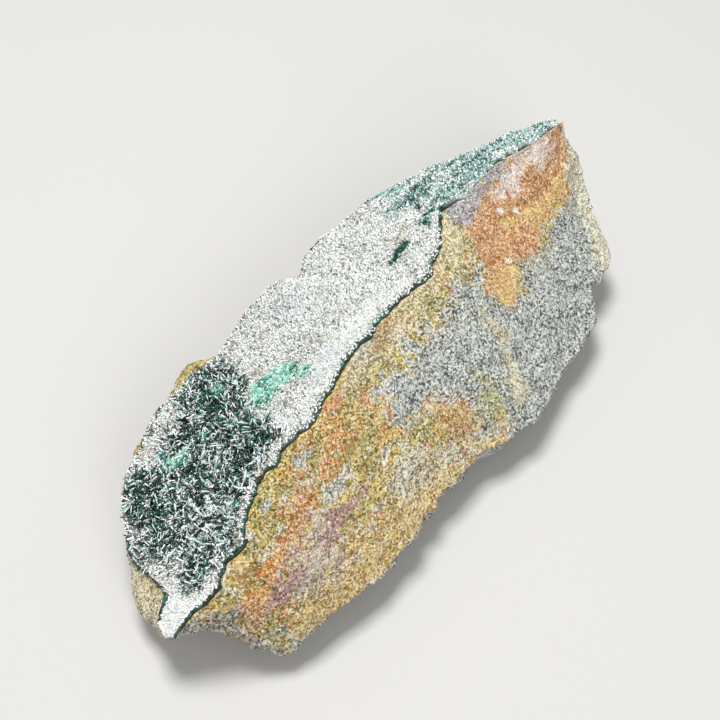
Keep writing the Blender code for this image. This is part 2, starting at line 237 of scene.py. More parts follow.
FOOT_RIGHT = [  # right edge of the flat break that the specimen lies on
    (-73, 0, 9), (-65, -6, 6), (-57, -12, 1.5), (-50, -15, 0), (-30, -19, 0), (0, -24, 0), (30, -25, 0),
    (46, -23, 0), (56, -19, 1), (66, -18, 4), (76, -14, 10.5), (83, -11, 18), (85.5, -9, 27),
]
FOOT_LEFT = [  # left edge of the same break
    (-73, 1.5, 8.5), (-68, 4, 5), (-62, 7, 1), (-54, 11, 0), (-30, 20, 0), (0, 22, 0), (25, 20, 0),
    (44, 14, 0), (56, 8, 0), (66, 3, 4), (76, -2, 11), (83, -7, 19), (85.5, -8, 27),
]
# The broken edge below the brow, against x: its height, and how far its lower side is set back
BROW_EDGE = [
    (-78, 1, 0), (-72.5, 0.5, 0), (-70.5, 2.5, 0), (-68.5, 4, 0), (-65, 3, 0), (-60, 2, 1), (87, 1.5, 0.5),
]
# How far each side swells out between its two edges, against x. Less than nothing is a hollow.
UPPER_SWELL = [(-78, 0), (-66, -0.6), (-50, -1.8), (-32, -1.4), (-18, 0.4), (5, 1.2), (60, 1.8), (86, 0)]
FACE_SWELL = [
    (-78, 0), (-62, 1.6), (-40, 1.8), (-15, 0.6), (10, 1.6), (34, 1.2), (52, -0.8), (68, -1.6), (86, 0),
]
UNDER_SWELL = [(-78, 0), (-66, 0), (-45, 2.2), (50, 2.4), (70, 1), (86, 0)]
GROWTH = np.array([0.0, 0.42, 0.907])  # the way the crust grew
FACE_OUT = np.array([0.0, -0.6, 0.8])
UNDER_OUT = np.array([0.0, -0.9, -0.4])
FLANK_OUT = np.array([0.0, 1.0, -0.1])
CRUST_EDGE, CRUST_MIDDLE = 1.1, 2.4  # thickness of the crust at its broken edge and in the middle
GAP = 0.3  # clearance between the crust's solid and the rock's

# %% [markdown]
# ## A net between edges
# The skin is a grid of two parameters: how far along the specimen, and how far across from one edge to
# the next. Stations lie closer together at both ends, where the shape runs out quickly.


# %% The net
def along(edge, shares):
    """Points at these shares of an edge. A stretch counts by its run in X and a third of its run in Y
    and Z."""
    corners = np.array(edge, float)
    steps = np.abs(np.diff(corners, axis=0)) @ np.array([1.0, 0.33, 0.33])
    at = np.concatenate([[0.0], np.cumsum(steps)])
    return np.stack([np.interp(shares * at[-1], at, corners[:, k]) for k in range(3)], 1)


def station_shares(count):
    """Shares of the length from 0 to 1, drawn together at both ends by a sine."""
    even = np.linspace(0.0, 1.0, count)
    return even - 0.045 * np.sin(2 * np.pi * even)


def from_table(table, x, column=1):
    return np.interp(x, [row[0] for row in table], [row[column] for row in table])


def span(start, end, shares, swell=0.0, out=GROWTH):
    """Rows of points from one edge to another: a straight mix by share, swollen along out by 4 s (1 - s).
    Shares may differ from station to station."""
    s = np.broadcast_to(shares, (len(start), np.shape(shares)[-1]))[..., None]
    bulge = np.broadcast_to(swell, len(start))[:, None, None] * 4 * s * (1 - s)
    return start[:, None] * (1 - s) + end[:, None] * s + bulge * out


def steps_of(count):
    """Shares from 0 up to 1, the last left out."""
    return np.arange(count) / count


def crust_depth(stations, shares):
    """Thickness of the crust: thin where it is broken off, both at its two long edges and at its ends."""
    lengthways = np.clip(3.0 * np.sin(np.pi * np.linspace(0, 1, stations)), 0, 1)
    across = np.clip(1.6 * np.sin(np.pi * shares), 0, 1)
    return CRUST_EDGE + (CRUST_MIDDLE - CRUST_EDGE) * lengthways[:, None] * across


# Columns of the rock's net from edge to edge, close together where the stone shows
COLUMNS = {"shoulder": 4, "upper": 14, "face": 104, "hem": 5, "under": 42, "base": 12, "flank": 40}
STATIONS = 413
starts = dict(zip(COLUMNS, np.cumsum([0, *COLUMNS.values()])))
print("rock net:", STATIONS, "stations by", sum(COLUMNS.values()), "columns")


def rock_net():
    """The rock's skin with no relief: seven spans side by side, the upper one let down under the crust."""
    shares = station_shares(STATIONS)
    shoulder, rim, ridge, brow = (along(edge, shares) for edge in (SHOULDER, RIM, RIDGE, BROW))
    foot_right, foot_left = along(FOOT_RIGHT, shares), along(FOOT_LEFT, shares)
    drop, set_back = from_table(BROW_EDGE, brow[:, 0], 1), from_table(BROW_EDGE, brow[:, 0], 2)
    hem = brow + np.stack([0 * drop, set_back, -drop], 1)
    swell = from_table(UNDER_SWELL, foot_left[:, 0])
    depth = crust_depth(STATIONS, steps_of(COLUMNS["upper"]))
    rim_low = rim - GROWTH * (CRUST_EDGE + GAP)
    ridge_low = ridge - GROWTH * (CRUST_EDGE + GAP)
    upper = span(rim, ridge, steps_of(COLUMNS["upper"]), from_table(UPPER_SWELL, ridge[:, 0]), GROWTH)
    return np.concatenate([
        span(shoulder, rim_low, steps_of(COLUMNS["shoulder"])),
        upper - GROWTH * (depth + GAP)[..., None],
        span(ridge_low, brow, steps_of(COLUMNS["face"]), from_table(FACE_SWELL, brow[:, 0]), FACE_OUT),
        span(brow, hem, steps_of(COLUMNS["hem"])),
        span(hem, foot_right, steps_of(COLUMNS["under"]), swell, UNDER_OUT),
        span(foot_right, foot_left, steps_of(COLUMNS["base"])),
        span(foot_left, shoulder, steps_of(COLUMNS["flank"]), swell, FLANK_OUT),
    ], 1)


# %% [markdown]
# ## Laying a net on a solid
# The solid has chips and hollows that the net doesn't know. Blender's Shrinkwrap pulls each point of
# the net along its own normal until it meets a merged copy of the solid. The points are read back as an
# array, so that all later shaping is arithmetic.


# %% Meshes from arrays
SAME_CORNER = 1e-6  # m, corners of the solid's triangles this close are one
WRAP_REACH = 3.0  # mm that a point may move to meet the solid


def grid_faces(rows, columns, closed=False, first=0):
    """Four corner numbers for each square of a grid; a closed grid joins its last column to its first."""
    i, j = np.meshgrid(np.arange(rows - 1), np.arange(columns if closed else columns - 1), indexing="ij")
    beside = (j + 1) % columns
    squares = [i * columns + j, i * columns + beside, (i + 1) * columns + beside, (i + 1) * columns + j]
    return first + np.stack(squares, -1).reshape(-1, 4)


def fill_mesh(name, points_mm, faces):
    """A mesh from drawing points and a list of face arrays, each with three or four corners to a face."""
    mesh = bpy.data.meshes.new(name)
    points = to_metres(points_mm).astype(np.float32)
    sizes = np.concatenate([np.full(len(f), f.shape[1]) for f in faces])
    mesh.vertices.add(len(points))
    mesh.vertices.foreach_set("co", points.ravel())
    mesh.loops.add(int(sizes.sum()))
    mesh.loops.foreach_set("vertex_index", np.concatenate([f.ravel() for f in faces]).astype(np.int32))
    mesh.polygons.add(len(sizes))
    mesh.polygons.foreach_set("loop_start", (np.cumsum(sizes) - sizes).astype(np.int32))
    mesh.update(calc_edges=True)
    return mesh


def new_object(name, mesh):
    made = bpy.data.objects.new(name, mesh)
    bpy.context.scene.collection.objects.link(made)
    return made


def merged_copy(node):
    """A hidden copy of a solid whose loose triangles are joined at their corners."""
    solid = bmesh.new()
    solid.from_mesh(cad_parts[node].data)
    bmesh.ops.remove_doubles(solid, verts=solid.verts[:], dist=SAME_CORNER)
    mesh = bpy.data.meshes.new(node + "_copy")
    solid.to_mesh(mesh)
    solid.free()
    return new_object(node + "_copy", mesh)


def laid_on(net, solid, closed):
    """The net's points, each moved along its normal to the solid."""
    rows, columns = net.shape[:2]
    guide = new_object("net", fill_mesh("net", net.reshape(-1, 3), [grid_faces(rows, columns, closed)]))
    wrap = guide.modifiers.new("wrap", "SHRINKWRAP")
    wrap.target = solid
    wrap.wrap_method = "PROJECT"
    wrap.use_negative_direction = True
    wrap.use_positive_direction = True
    wrap.project_limit = WRAP_REACH * MM
    evaluated = guide.evaluated_get(bpy.context.evaluated_depsgraph_get())
    found = np.zeros(rows * columns * 3, np.float32)
    evaluated.data.vertices.foreach_get("co", found)
    bpy.data.objects.remove(guide)
    return to_drawing(found.reshape(rows, columns, 3).astype(float))


def outward(grid, closed):
    """Unit normals of a grid: the cross product of the step around and the step along."""
    lengthways = np.gradient(grid, axis=0)
    if closed:
        around = (np.roll(grid, -1, axis=1) - np.roll(grid, 1, axis=1)) / 2
    else:
        around = np.gradient(grid, axis=1)
    across = np.cross(around, lengthways)
    return across / np.maximum(np.linalg.norm(across, axis=2, keepdims=True), 1e-9)


def eased(grid, passes, columns=None):
    """The grid with its facets softened: each pass mixes a point with its neighbours, 1 : 2 : 1.
    Along the specimen always, and across it within the named columns, whose first and last stay."""
    for _ in range(passes):
        grid[1:-1] = (grid[:-2] + 2 * grid[1:-1] + grid[2:]) / 4
        for name in columns or ():
            a, b = starts[name], starts[name] + COLUMNS[name]
            grid[:, a + 1:b - 1] = (grid[:, a:b - 2] + 2 * grid[:, a + 1:b - 1] + grid[:, a + 2:b]) / 4
    return grid


rock_solid = merged_copy("host_rock")
rock = eased(laid_on(rock_net(), rock_solid, closed=True), 8, ("face", "under", "flank"))
print("rock net laid on its solid, lowest point", rock[..., 2].min().round(2), "mm")

# %% [markdown]
# ## The rock's stains
# The bare face is bluish grey where it is fresh. Towards the tail and along the ridge iron has turned it
# ochre and olive, with rust in streaks and one large orange patch near the tip. These are colours in
# the stone and not forms, so each is a zone with a dark and a light grain colour.

# %% Colours
def linear(code):
    """An sRGB hex colour as linear red, green, blue: below 0.04045 divided by 12.92, above by the power."""
    part = np.array([int(code[k:k + 2], 16) for k in (1, 3, 5)]) / 255
    return np.where(part <= 0.04045, part / 12.92, ((part + 0.055) / 1.055) ** 2.4)


ROCK_PULL = 0.45  # noise on the rock is drawn out by one over this along its length
# Dark and light grain colour of the stone before any stain
PLAIN = ("#6e5e2c", "#e8d288")
# Clouds that lie all over the stone: size in mm, how much noise it takes, dark and light grain colour
CLOUDS = [
    ("olive", 4.0, 0.04, "#585428", "#d0c274"),
    ("gold", 3.6, 0.14, "#866020", "#f0d47c"),
    ("cream", 2.4, 0.36, "#888060", "#f4eedc"),
    ("rust", 2.8, 0.60, "#96582c", "#e8b480"),
    ("grey", 3.0, 0.50, "#60645c", "#e4e6dc"),
]
# Each zone of the bare face: soft width, raggedness and mixing by grain in mm, dark and light grain
# colour, how fully it covers, and its outline in the drawing
STAINS = [
    ("fresh grey", 5.0, 2.6, 5.0, "#485050", "#dce0d8", 1.0, [
        (31, -13), (18, -14), (10, -13), (-3, -14), (-10, -13.5), (-14, -14), (-15, -18), (-11, -22),
        (-6, -23), (-1, -28), (-4, -33), (0, -45), (92, -45), (92, -18), (82, -15), (66, -19),
        (58, -19.5), (46, -21), (33, -23.5), (26, -20),
    ]),
    ("cream in the grey", 3.0, 2.5, 4.0, "#948860", "#f4ecc8", 0.8, [
        (20, -22), (21, -26), (16, -33), (11, -37), (9, -34), (15, -28),
    ]),
    ("olive in the grey", 3.0, 2.0, 3.0, "#686840", "#c8c890", 0.8, [
        (3, -29), (7, -27), (11, -30), (7, -35), (2, -33),
    ]),
    ("grey by the brow", 4.0, 3.5, 4.0, "#706e60", "#ece8d4", 0.7, [
        (-26, -21), (-12, -25), (0, -33), (2, -38), (-16, -32), (-30, -26),
    ]),
    ("olive", 6.0, 4.0, 4.0, "#5c5828", "#d8c478", 0.6, [
        (-62, -13), (-35, -11), (-22, -12), (-28, -19), (-48, -17), (-62, -17),
    ]),
    ("tan by the ridge", 3.0, 1.8, 2.5, "#94865c", "#f8ecc4", 0.8, [
        (-22, -4), (37, 0), (44, -7), (30, -12), (5, -10.5), (-18, -9.5),
    ]),
    ("grey by the ledge", 2.0, 1.2, 2.0, "#848078", "#dcdace", 0.6, [
        (-14, -4), (-2, -4), (-3, -7), (-14, -7.5),
    ]),
    ("brown under the ledge", 1.2, 0.8, 1.2, "#7a5230", "#caa068", 0.6, [
        (-9, -7), (2, -5.5), (3, -7.5), (-6, -9.2),
    ]),
    ("rust spot", 2.4, 2.0, 3.5, "#a06028", "#f0b878", 0.85, [
        (-25.5, -10.5), (-25, -13), (-29, -14), (-34, -14.2), (-38.5, -14), (-38.5, -11.5),
        (-33, -10.2), (-29, -10),
    ]),
    ("rust streak", 2.4, 2.2, 4.0, "#a06434", "#ecb888", 0.75, [
        (-40, -12), (-44, -11.8), (-50, -12), (-57, -13), (-66, -12), (-69, -14), (-64, -16),
        (-57, -16), (-50, -15.2), (-44, -14.5), (-40, -14.5),
    ]),
    ("rust heart", 1.8, 1.4, 3.0, "#b46828", "#f8c074", 0.8, [
        (-55, -13), (-64, -12), (-68, -14), (-62, -15.4), (-56, -15),
    ]),
    ("pale grey spot", 1.6, 1.4, 2.5, "#7c7e74", "#e8eae0", 0.8, [
        (-32, -15.5), (-38, -14.5), (-41, -15.6), (-37, -17.4), (-33, -17.2),
    ]),
    ("rust patch", 2.5, 2.0, 3.0, "#8c6030", "#e4bc84", 0.9, [
        (-5, -22.5), (1, -26), (0, -31), (-9, -28), (-8, -24),
    ]),
    ("low gold", 4.0, 2.4, 4.0, "#9c7438", "#f4da9c", 0.8, [
        (-62, -21), (-44, -23), (-20, -28), (4, -34), (4, -40), (-14, -36), (-66, -30),
    ]),
    ("lilac", 3.0, 2.0, 3.5, "#887870", "#e4d0c0", 0.8, [
        (-42, -19), (-48, -22), (-57, -20.5), (-60, -18), (-55, -16.5), (-46, -17),
    ]),
    ("purple streak", 1.0, 1.1, 1.6, "#80585a", "#cca89c", 0.85, [
        (-32, -20.5), (-38, -20), (-44, -19.6), (-58, -18.2), (-65, -15.8), (-65, -15), (-58, -16.6),
        (-50, -18), (-43, -18.2), (-37, -19),
    ]),
    ("orange patch", 1.8, 1.6, 2.2, "#9c6034", "#f0c08c", 1.0, [
        (86, -8), (86, -12), (81, -14.5), (74, -18), (62, -18.5), (53, -18), (47, -21), (41.5, -18.5),
        (35, -22), (28, -23), (27, -19), (31.5, -16), (34.5, -11.5), (38, -7), (45, -5.5), (53, -5.5),
        (64, -5), (75, -7),
    ]),
    ("pink and pale", 3.0, 1.8, 3.0, "#c8a896", "#fffaf4", 0.9, [
        (78, -8), (77, -12), (65, -9.5), (57, -10), (50, -8), (56, -5.5), (68, -5.5),
    ]),
    ("gold band", 1.6, 1.4, 2.4, "#bc8838", "#f8e09c", 0.85, [
        (79, -14.5), (74, -17.8), (64, -17.2), (54, -16.8), (47, -13.5), (47, -11.5), (54, -13.8),
        (64, -14.6),
    ]),
    ("brown line", 0.9, 0.6, 1.0, "#84522a", "#d29a60", 0.8, [
        (71, -13.2), (63, -12.6), (56, -11.6), (49, -9.4), (49, -10.8), (56, -13), (63, -14),
        (70, -14.6),
    ]),
    ("gold tongue", 1.6, 1.0, 1.6, "#c08c48", "#f4d898", 1.0, [
        (41, -19.5), (35, -22.5), (27, -24), (27, -20), (32, -17), (36, -17),
    ]),
    ("violet strip", 1.6, 1.0, 2.0, "#606674", "#c8ccd6", 0.8, [
        (36, -0.5), (46, -3), (62, -4), (62, -5.5), (52, -6.8), (42, -6.6), (37, -6),
    ]),
    ("pale edge of the tip", 2.0, 1.2, 2.5, "#9c9674", "#fffae2", 0.9, [
        (86, -9), (90, -12), (90, -20), (72, -38), (58, -40), (60, -33.5), (68, -27), (74, -19),
        (80, -14.5),
    ]),
    ("tan end", 3.0, 1.5, 3.0, "#9c8a62", "#fff6dc", 0.85, [
        (-84, -4), (-72, -4), (-70, 8), (-64, 16), (-60, 26), (-84, 20),
    ]),
    ("tan knob by the crust", 0.8, 0.4, 1.0, "#a88040", "#f0d294", 0.8, [
        (-66, -7), (-62, -8), (-61, -11), (-65, -11),
    ]),
]
WHITE_SPECKS = [(49.0, -10.5), (53.2, -12.9), (39.5, -17.7)]
SPECK_RADIUS = 0.7  # mm


def stone_colours(points, normals):
    """Dark and light grain colour of the bare stone at each point. Clouds drawn out along the rock are mixed
    in first, then each zone, then the broken sides, which have tones of their own."""
    dark = np.broadcast_to(linear(PLAIN[0]), points.shape).copy()
    light = np.broadcast_to(linear(PLAIN[1]), points.shape).copy()
    grain = by_grain(points, 1.5, seed=71)
    pulled = drawn_out(points, ROCK_PULL)

    def mix_in(share, dark_code, light_code):
        nonlocal dark, light
        dark = dark + (linear(dark_code) - dark) * share[..., None]
        light = light + (linear(light_code) - light) * share[..., None]

    for number, (_, size, needed, dark_code, light_code) in enumerate(CLOUDS):
        cloud = fractal_noise(pulled, size, 4, seed=101 + 7 * number)
        grain_here = by_grain(points, 1.2, seed=131 + number)
        mix_in(s_curve((cloud + 0.8 * grain_here - needed) * 3), dark_code, light_code)
    for number, (_, soft, ragged, mixing, dark_code, light_code, cover, outline) in enumerate(STAINS):
        share = zone(points, outline, soft, ragged, seed=31 * number, offset=mixing * grain)
        mix_in(share * cover, dark_code, light_code)
    uneven = 0.3 * fractal_noise(points, 5.0, 3, seed=91)
    below = s_curve((0.25 + uneven - normals[..., 2]) * 3) * s_curve(-normals[..., 1] * 3)
    mix_in(below * 0.9, "#4c5052", "#d6d8d4")
    flank = s_curve(normals[..., 1] * 4) * s_curve((0.5 - normals[..., 2]) * 3)
    mix_in(flank * (0.4 + uneven), "#7c6a44", "#d8c290")
    mix_in(flank * s_curve(0.1 - 2.5 * uneven), "#62645c", "#d4d4c8")
    specks = np.min([to_line(points, [spot, (spot[0] + 0.5, spot[1])]) for spot in WHITE_SPECKS], 0)
    mix_in(s_curve((SPECK_RADIUS - specks + 0.5 * grain) * 3), "#e4e4dc", "#fbfbf6")
    return dark, light


# %% [markdown]
# ## The rock's relief
# Skarn breaks through a mass of small grains, so the surface is rough at every scale. Height is added
# along the normals: drawn-out swells that follow the length of the rock, small lumps, and single grains
# of about a millimetre. The broken sides are chipped as well. A few lines are real breaks: one open
# crack, a hairline beside the crust, and the low steps round the orange patch.

# %% Relief
GRAIN = 0.95  # mm, the grains that the mesh can hold; finer ones are bump in the material
CRACKS = [  # corners seen from above, half width and depth in mm
    ([(56, -34.5), (50.4, -32.4), (44.8, -31.3)], 0.45, 0.8),
    ([(4, -8.8), (-2, -8.4), (-6, -9.0), (-14, -9.4)], 0.3, 0.5),
    ([(0.0, -31.8), (1.4, -34.2)], 0.4, 0.6),
    ([(37.4, -9.5), (39.0, -14), (39.5, -17.4), (41.5, -20.0)], 0.35, 0.35),
    ([(25.2, -22.0), (31, -21.6), (36.4, -22.3)], 0.35, 0.35),
    ([(-62, -18), (-50, -22), (-38, -26)], 0.35, 0.3),
]
KNOBS = [((-21.7, -30.1), 1.6, 0.9), ((-63.5, -9.5), 2.0, 0.8)]  # middle, radius and height in mm
STEP = [(30.8, -13.5), (45, -15.5), (60, -16.5), (80, -15)]  # low step along the orange patch
CHIPS = [(5.0, 0.8, 61), (11.0, 1.3, 65)]  # size and step of chips on the sides in mm, and their seed
FIRST_COLUMNS = np.array([0.2, 0.4, 0.6, 0.8])  # share of the relief where the bare face begins


def stone_relief(points, normals):
    """Height of the broken stone above its net, in millimetres."""
    swells = 0.38 * fractal_noise(drawn_out(points, ROCK_PULL), 6.0, 3, seed=11)
    lumps = 0.17 * fractal_noise(points, 1.9, 2, seed=21)
    distance, own = grain_cells(points, GRAIN, seed=41)
    grains = 0.26 * (own - 0.5) + 0.16 * (0.5 - distance)
    side_or_below = s_curve((0.3 - normals[..., 2]) * 3)
    chips = 0.0
    for size, step, seed in CHIPS:
        distance, own = grain_cells(points, size, seed)
        chips = chips + step * (own - 0.5) * s_curve(3 * (0.8 - distance))
    height = (swells + lumps + grains) * (1 + 1.3 * side_or_below) + chips * side_or_below
    for line, half_width, depth in CRACKS:
        height -= depth * np.exp(-((to_line(points, line) / half_width) ** 2))
    for middle, radius, tall in KNOBS:
        away = np.linalg.norm(points[..., :2] - np.array(middle), axis=-1)
        height += tall * s_curve(1.3 - away / radius)
    height += 0.35 * s_curve(1 - to_line(points, STEP) / 1.6)
    return height


def rock_surface():
    """The finished rock: relief on every column but those hidden under the crust, and a flat base."""
    normals = outward(rock, closed=True)
    height = stone_relief(rock, normals)
    shown = np.ones(rock.shape[1])
    a, b = starts["upper"], starts["face"]
    shown[a:b + 1] = 0.0
    shown[b + 1:b + 1 + len(FIRST_COLUMNS)] = FIRST_COLUMNS
    off_the_table = s_curve(rock[..., 2] / 1.5)
    ends = s_curve(20 * np.sin(np.pi * np.linspace(0, 1, len(rock))))
    points = rock + normals * (height * shown * off_the_table * ends[:, None])[..., None]
    return inside_box(points)


stone = rock_surface()
stone_normals = outward(eased(rock.copy(), 4), closed=True)
stone_dark, stone_light = stone_colours(stone, stone_normals)
print("relief from", np.round((stone - rock).min(), 2), "to", np.round((stone - rock).max(), 2), "mm")


# %% Rock piece
def closed_ends(grid):
    """Points and faces of a grid that closes on itself: its squares, and a fan of triangles at each end."""
    rows, columns = grid.shape[:2]
    middles = np.stack([grid[0].mean(0), grid[-1].mean(0)])
    j = np.arange(columns)
    beside, last = (j + 1) % columns, (rows - 1) * columns
    tail = np.stack([beside, j, np.full(columns, rows * columns)], 1)
    tip = np.stack([last + j, last + beside, np.full(columns, rows * columns + 1)], 1)
    return np.concatenate([grid.reshape(-1, 3), middles]), [grid_faces(rows, columns, True), tail, tip]


def paint(mesh, name, colours):
    """A colour for each point, as a named attribute that the material reads."""
    rgba = np.ones((len(mesh.vertices), 4), np.float32)
    rgba[:, :3] = colours
    mesh.attributes.new(name, "FLOAT_COLOR", "POINT").data.foreach_set("color", rgba.ravel())


def flat_map(mesh, u, v):
    """A map to bake textures through, from a place for each point. Corners of one face that lie on
    both sides of the closing seam are brought together by adding 1."""
    corner = np.zeros(len(mesh.loops), np.int32)
    mesh.loops.foreach_get("vertex_index", corner)
    start = np.zeros(len(mesh.polygons), np.int32)
    mesh.polygons.foreach_get("loop_start", start)
    size = np.diff(np.append(start, len(corner)))
    face = np.repeat(np.arange(len(start)), size)
    across = v[corner]
    highest = np.maximum.reduceat(across, start)[face]
    across = np.where((highest - across) > 0.5, across + 1.0, across)
    places = np.stack([u[corner], across * 0.98 + 0.005], 1)
    mesh.uv_layers.new(name="OFBake").data.foreach_set("uv", places.astype(np.float32).ravel())


rock_points, rock_faces = closed_ends(stone)
rock_mesh = fill_mesh("rock_surface", rock_points, rock_faces)
for attribute, colours in (("dark_grain", stone_dark), ("light_grain", stone_light)):
    ends = np.stack([colours[0].mean(0), colours[-1].mean(0)])
    paint(rock_mesh, attribute, np.concatenate([colours.reshape(-1, 3), ends]))
around = np.linalg.norm(np.diff(stone, axis=1, append=stone[:, :1]), axis=2).mean(0)
v_share = np.concatenate([[0.0], np.cumsum(around)[:-1]]) / around.sum()
u_grid = np.repeat(np.linspace(0.004, 0.996, STATIONS), len(v_share))
rock_u = np.concatenate([u_grid, [0.001, 0.999]])
rock_v = np.concatenate([np.tile(v_share, STATIONS), [0.5, 0.5]])
flat_map(rock_mesh, rock_u, rock_v)
rock_mesh.shade_smooth()
rock_piece = new_object("rock_surface", rock_mesh)
rock_piece.data.calc_loop_triangles()
print("rock_surface:", len(rock_mesh.loop_triangles), "triangles")

# %% [markdown]
# ## The crust
# The crust is a sheet of massive dark green epidote, one to two millimetres thick, that carries the
# crystals. Its long edges are broken, so the sheet's width is nibbled back by noise. Its top is kept
# a grain's height below the solid's, because the crystals fill that.

# %% Crust sheet
CRUST_STATIONS, CRUST_COLUMNS = STATIONS, 64
DRUSE_HEIGHT = 0.45  # mm that the fine crystals stand above the sheet
CONTACT = 0.05  # mm left between sheet and rock
# How tall the crust's broken side at the ridge stands, as a share of its thickness, against x
BROKEN_SIDE = [(-78, 0.9), (-48, 0.9), (-32, 0.5), (30, 0.45), (37, 0.3), (42, 0.05), (86, 0.02)]


def nibbled(edge, least, most, seed):
    """How far a broken edge is set back, in mm: small bites, and a few larger ones."""
    bites = 0.4 + 0.7 * fractal_noise(edge, 2.2, 2, seed) + 0.35 * smooth_noise(edge, 0.9, seed + 5)
    large = s_curve(fractal_noise(edge, 7.0, 2, seed + 9) * 2 - 0.9)
    return least + (most - least) * np.clip(0.6 * bites + 0.6 * large, 0, 1)


def crust_net():
    """The crust's underside and top as two grids from rim to ridge, with nibbled edges."""
    at = station_shares(CRUST_STATIONS)
    rim, ridge = along(RIM, at), along(RIDGE, at)
    width = np.linalg.norm(rim - ridge, axis=1)
    fade = s_curve(12 * np.sin(np.pi * np.linspace(0, 1, CRUST_STATIONS)))
    rim_back = nibbled(rim, 0.0, 0.9, seed=3) * fade / width
    ridge_back = nibbled(ridge, 0.05, 1.8, seed=5) * fade / width
    row = np.linspace(0, 1, CRUST_COLUMNS)[None]
    shares = rim_back[:, None] + (1 - rim_back - ridge_back)[:, None] * row
    depth = crust_depth(CRUST_STATIONS, shares)
    skin = span(rim, ridge, shares, from_table(UPPER_SWELL, ridge[:, 0]), GROWTH)
    contact = skin - GROWTH * (depth + GAP)[..., None]
    moved = eased(laid_on(contact, rock_solid, closed=False) - contact, 8)
    under = contact + moved + GROWTH * CONTACT
    inside = s_curve((depth - CRUST_EDGE) * 1.4)
    mounds = 0.3 * fractal_noise(skin, 6.0, 3, seed=15) * inside + 0.08 * smooth_noise(skin, 0.8, seed=18)
    to_ridge = (1 - shares) * width[:, None]
    sharpness = from_table(BROKEN_SIDE, skin[..., 0])
    rounded = (1 - sharpness) * s_curve(1 - to_ridge / 1.6)
    height = (GAP - CONTACT + depth - DRUSE_HEIGHT + mounds) * (1 - rounded)
    top = under + GROWTH * height[..., None]
    return inside_box(under), inside_box(top)


def slab(under, top):
    """A closed sheet: its top, its underside turned over, and a wall round the border."""
    rows, columns = top.shape[:2]
    lower = rows * columns
    upper_faces = grid_faces(rows, columns)
    under_faces = upper_faces[:, ::-1] + lower
    number = np.arange(rows * columns).reshape(rows, columns)
    border = np.concatenate([number[:-1, 0], number[-1, :-1], number[:0:-1, -1], number[0, :0:-1]])
    ahead = np.roll(border, -1)
    wall = np.stack([border, ahead, ahead + lower, border + lower], 1)
    return np.concatenate([top.reshape(-1, 3), under.reshape(-1, 3)]), [upper_faces, under_faces, wall]


crust_under, crust_top = crust_net()
crust_out = outward(crust_top, closed=False)
bpy.data.objects.remove(rock_solid)
print("crust sheet from", crust_top[..., 2].min().round(1), "to", crust_top[..., 2].max().round(1), "mm high")

# %% [markdown]
# ## Zones of the crust
# From above, the crust has one large dark bed near the tail, a band of teal towards the tip, two mint
# green patches of fine fibres, and small dark gaps where the pale druse never grew.

# %% Crust zones
# Outlines seen from above
BED = [
    (-66, 8), (-67.5, 2), (-67.5, -3), (-65, -5.4), (-61, -6.4), (-58, -5.4), (-51.5, -2.6), (-46, -2),
    (-40, -3.5), (-36, -2), (-33, 3), (-32, 7), (-27.5, 12), (-22, 17), (-17, 22.5), (-15.5, 27),
    (-22, 30.5), (-30, 29.5), (-38, 26.5), (-46, 25.5), (-53, 27.5), (-59, 23.5), (-63.5, 16),
]
# Middle and radius of the clumps of dark and of pale needles
DARK_CLUMPS = [
    (-26, 25, 3), (-29, 20, 2.6), (-41, 28.5, 2), (-38, 18, 3), (-54.5, 25.5, 2.2), (-57, 20.5, 2.4),
    (-58, 14.5, 2.4), (-38, 2, 2.5), (-45.5, 3.5, 2.6), (-21, 24, 2.2), (-34, 8, 2), (-66, 2, 2),
    (-59.4, -5.6, 1.5), (-46, 15, 2.5), (-49, 19, 2), (-61.5, 8.5, 2.2),
]
PALE_CLUMPS = [
    (-48.5, 27, 3), (-41, 11, 3), (-64.5, 4.5, 3), (-35.5, 11, 2.5), (-55, 8.5, 3), (-59, 2, 3.5),
    (-64, 12.5, 2.5), (-51, 3, 3), (-33, 30, 2.5), (-37, 25, 2), (-54, -1, 3), (-62, -2.5, 2.5),
    (-44, -1, 1.5),
]
TEAL_BAND = [
    (88, -9), (60, -6), (44, -3), (38, -1), (37, 4), (38, 8), (36, 12), (41, 20), (40, 27), (52, 20),
    (66, 11), (80, 2), (88, -5),
]
MINT = [
    [(-30, 9.8), (-26.4, 12.2), (-22.5, 14.2), (-20, 12.6), (-18, 11), (-17.2, 8), (-17.2, 4.2), (-19.3, 3.6),
     (-21, 5.2), (-23.4, 6.6), (-25.8, 6.4), (-29, 6), (-30.5, 8)],
    [(-50, 21), (-46, 22.5), (-43.5, 20), (-44.5, 17.5), (-48.5, 17.8)],
    [(-28, 25), (-26, 25), (-25.5, 22.5), (-27.5, 22)],
]
DARK_GAPS = [
    [(24.6, 1.9), (22.4, 1.7), (20, 1.4), (17.8, 2.0), (18.2, 2.7), (21, 2.9), (23, 2.4)],
    [(36, 12.5), (35.5, 11.7), (36, 11.2), (36.8, 12)],
]
SPECKLED = [
    [(40, 7), (38.2, 4.5), (36, 4.5), (36.5, 7.5)],
    [(37, 4), (36.3, 0.6), (32.5, -1.4), (29, -2), (29.5, 0.6), (33, 3)],
]
TAIL_RIM = [(-80, 3), (-70.4, 3), (-67.8, 8), (-65.8, 12), (-64, 16), (-62.5, 19), (-65, 23), (-80, 14)]
WHITE_STRIP = [(-33, -6), (-33, -2), (-24, 1), (-14, 3), (0, -1), (12, -4), (12, -8), (-10, -6)]
LINE_ENDS = (37, 43)  # between these two x the dark line along the broken edges fades out towards the tip


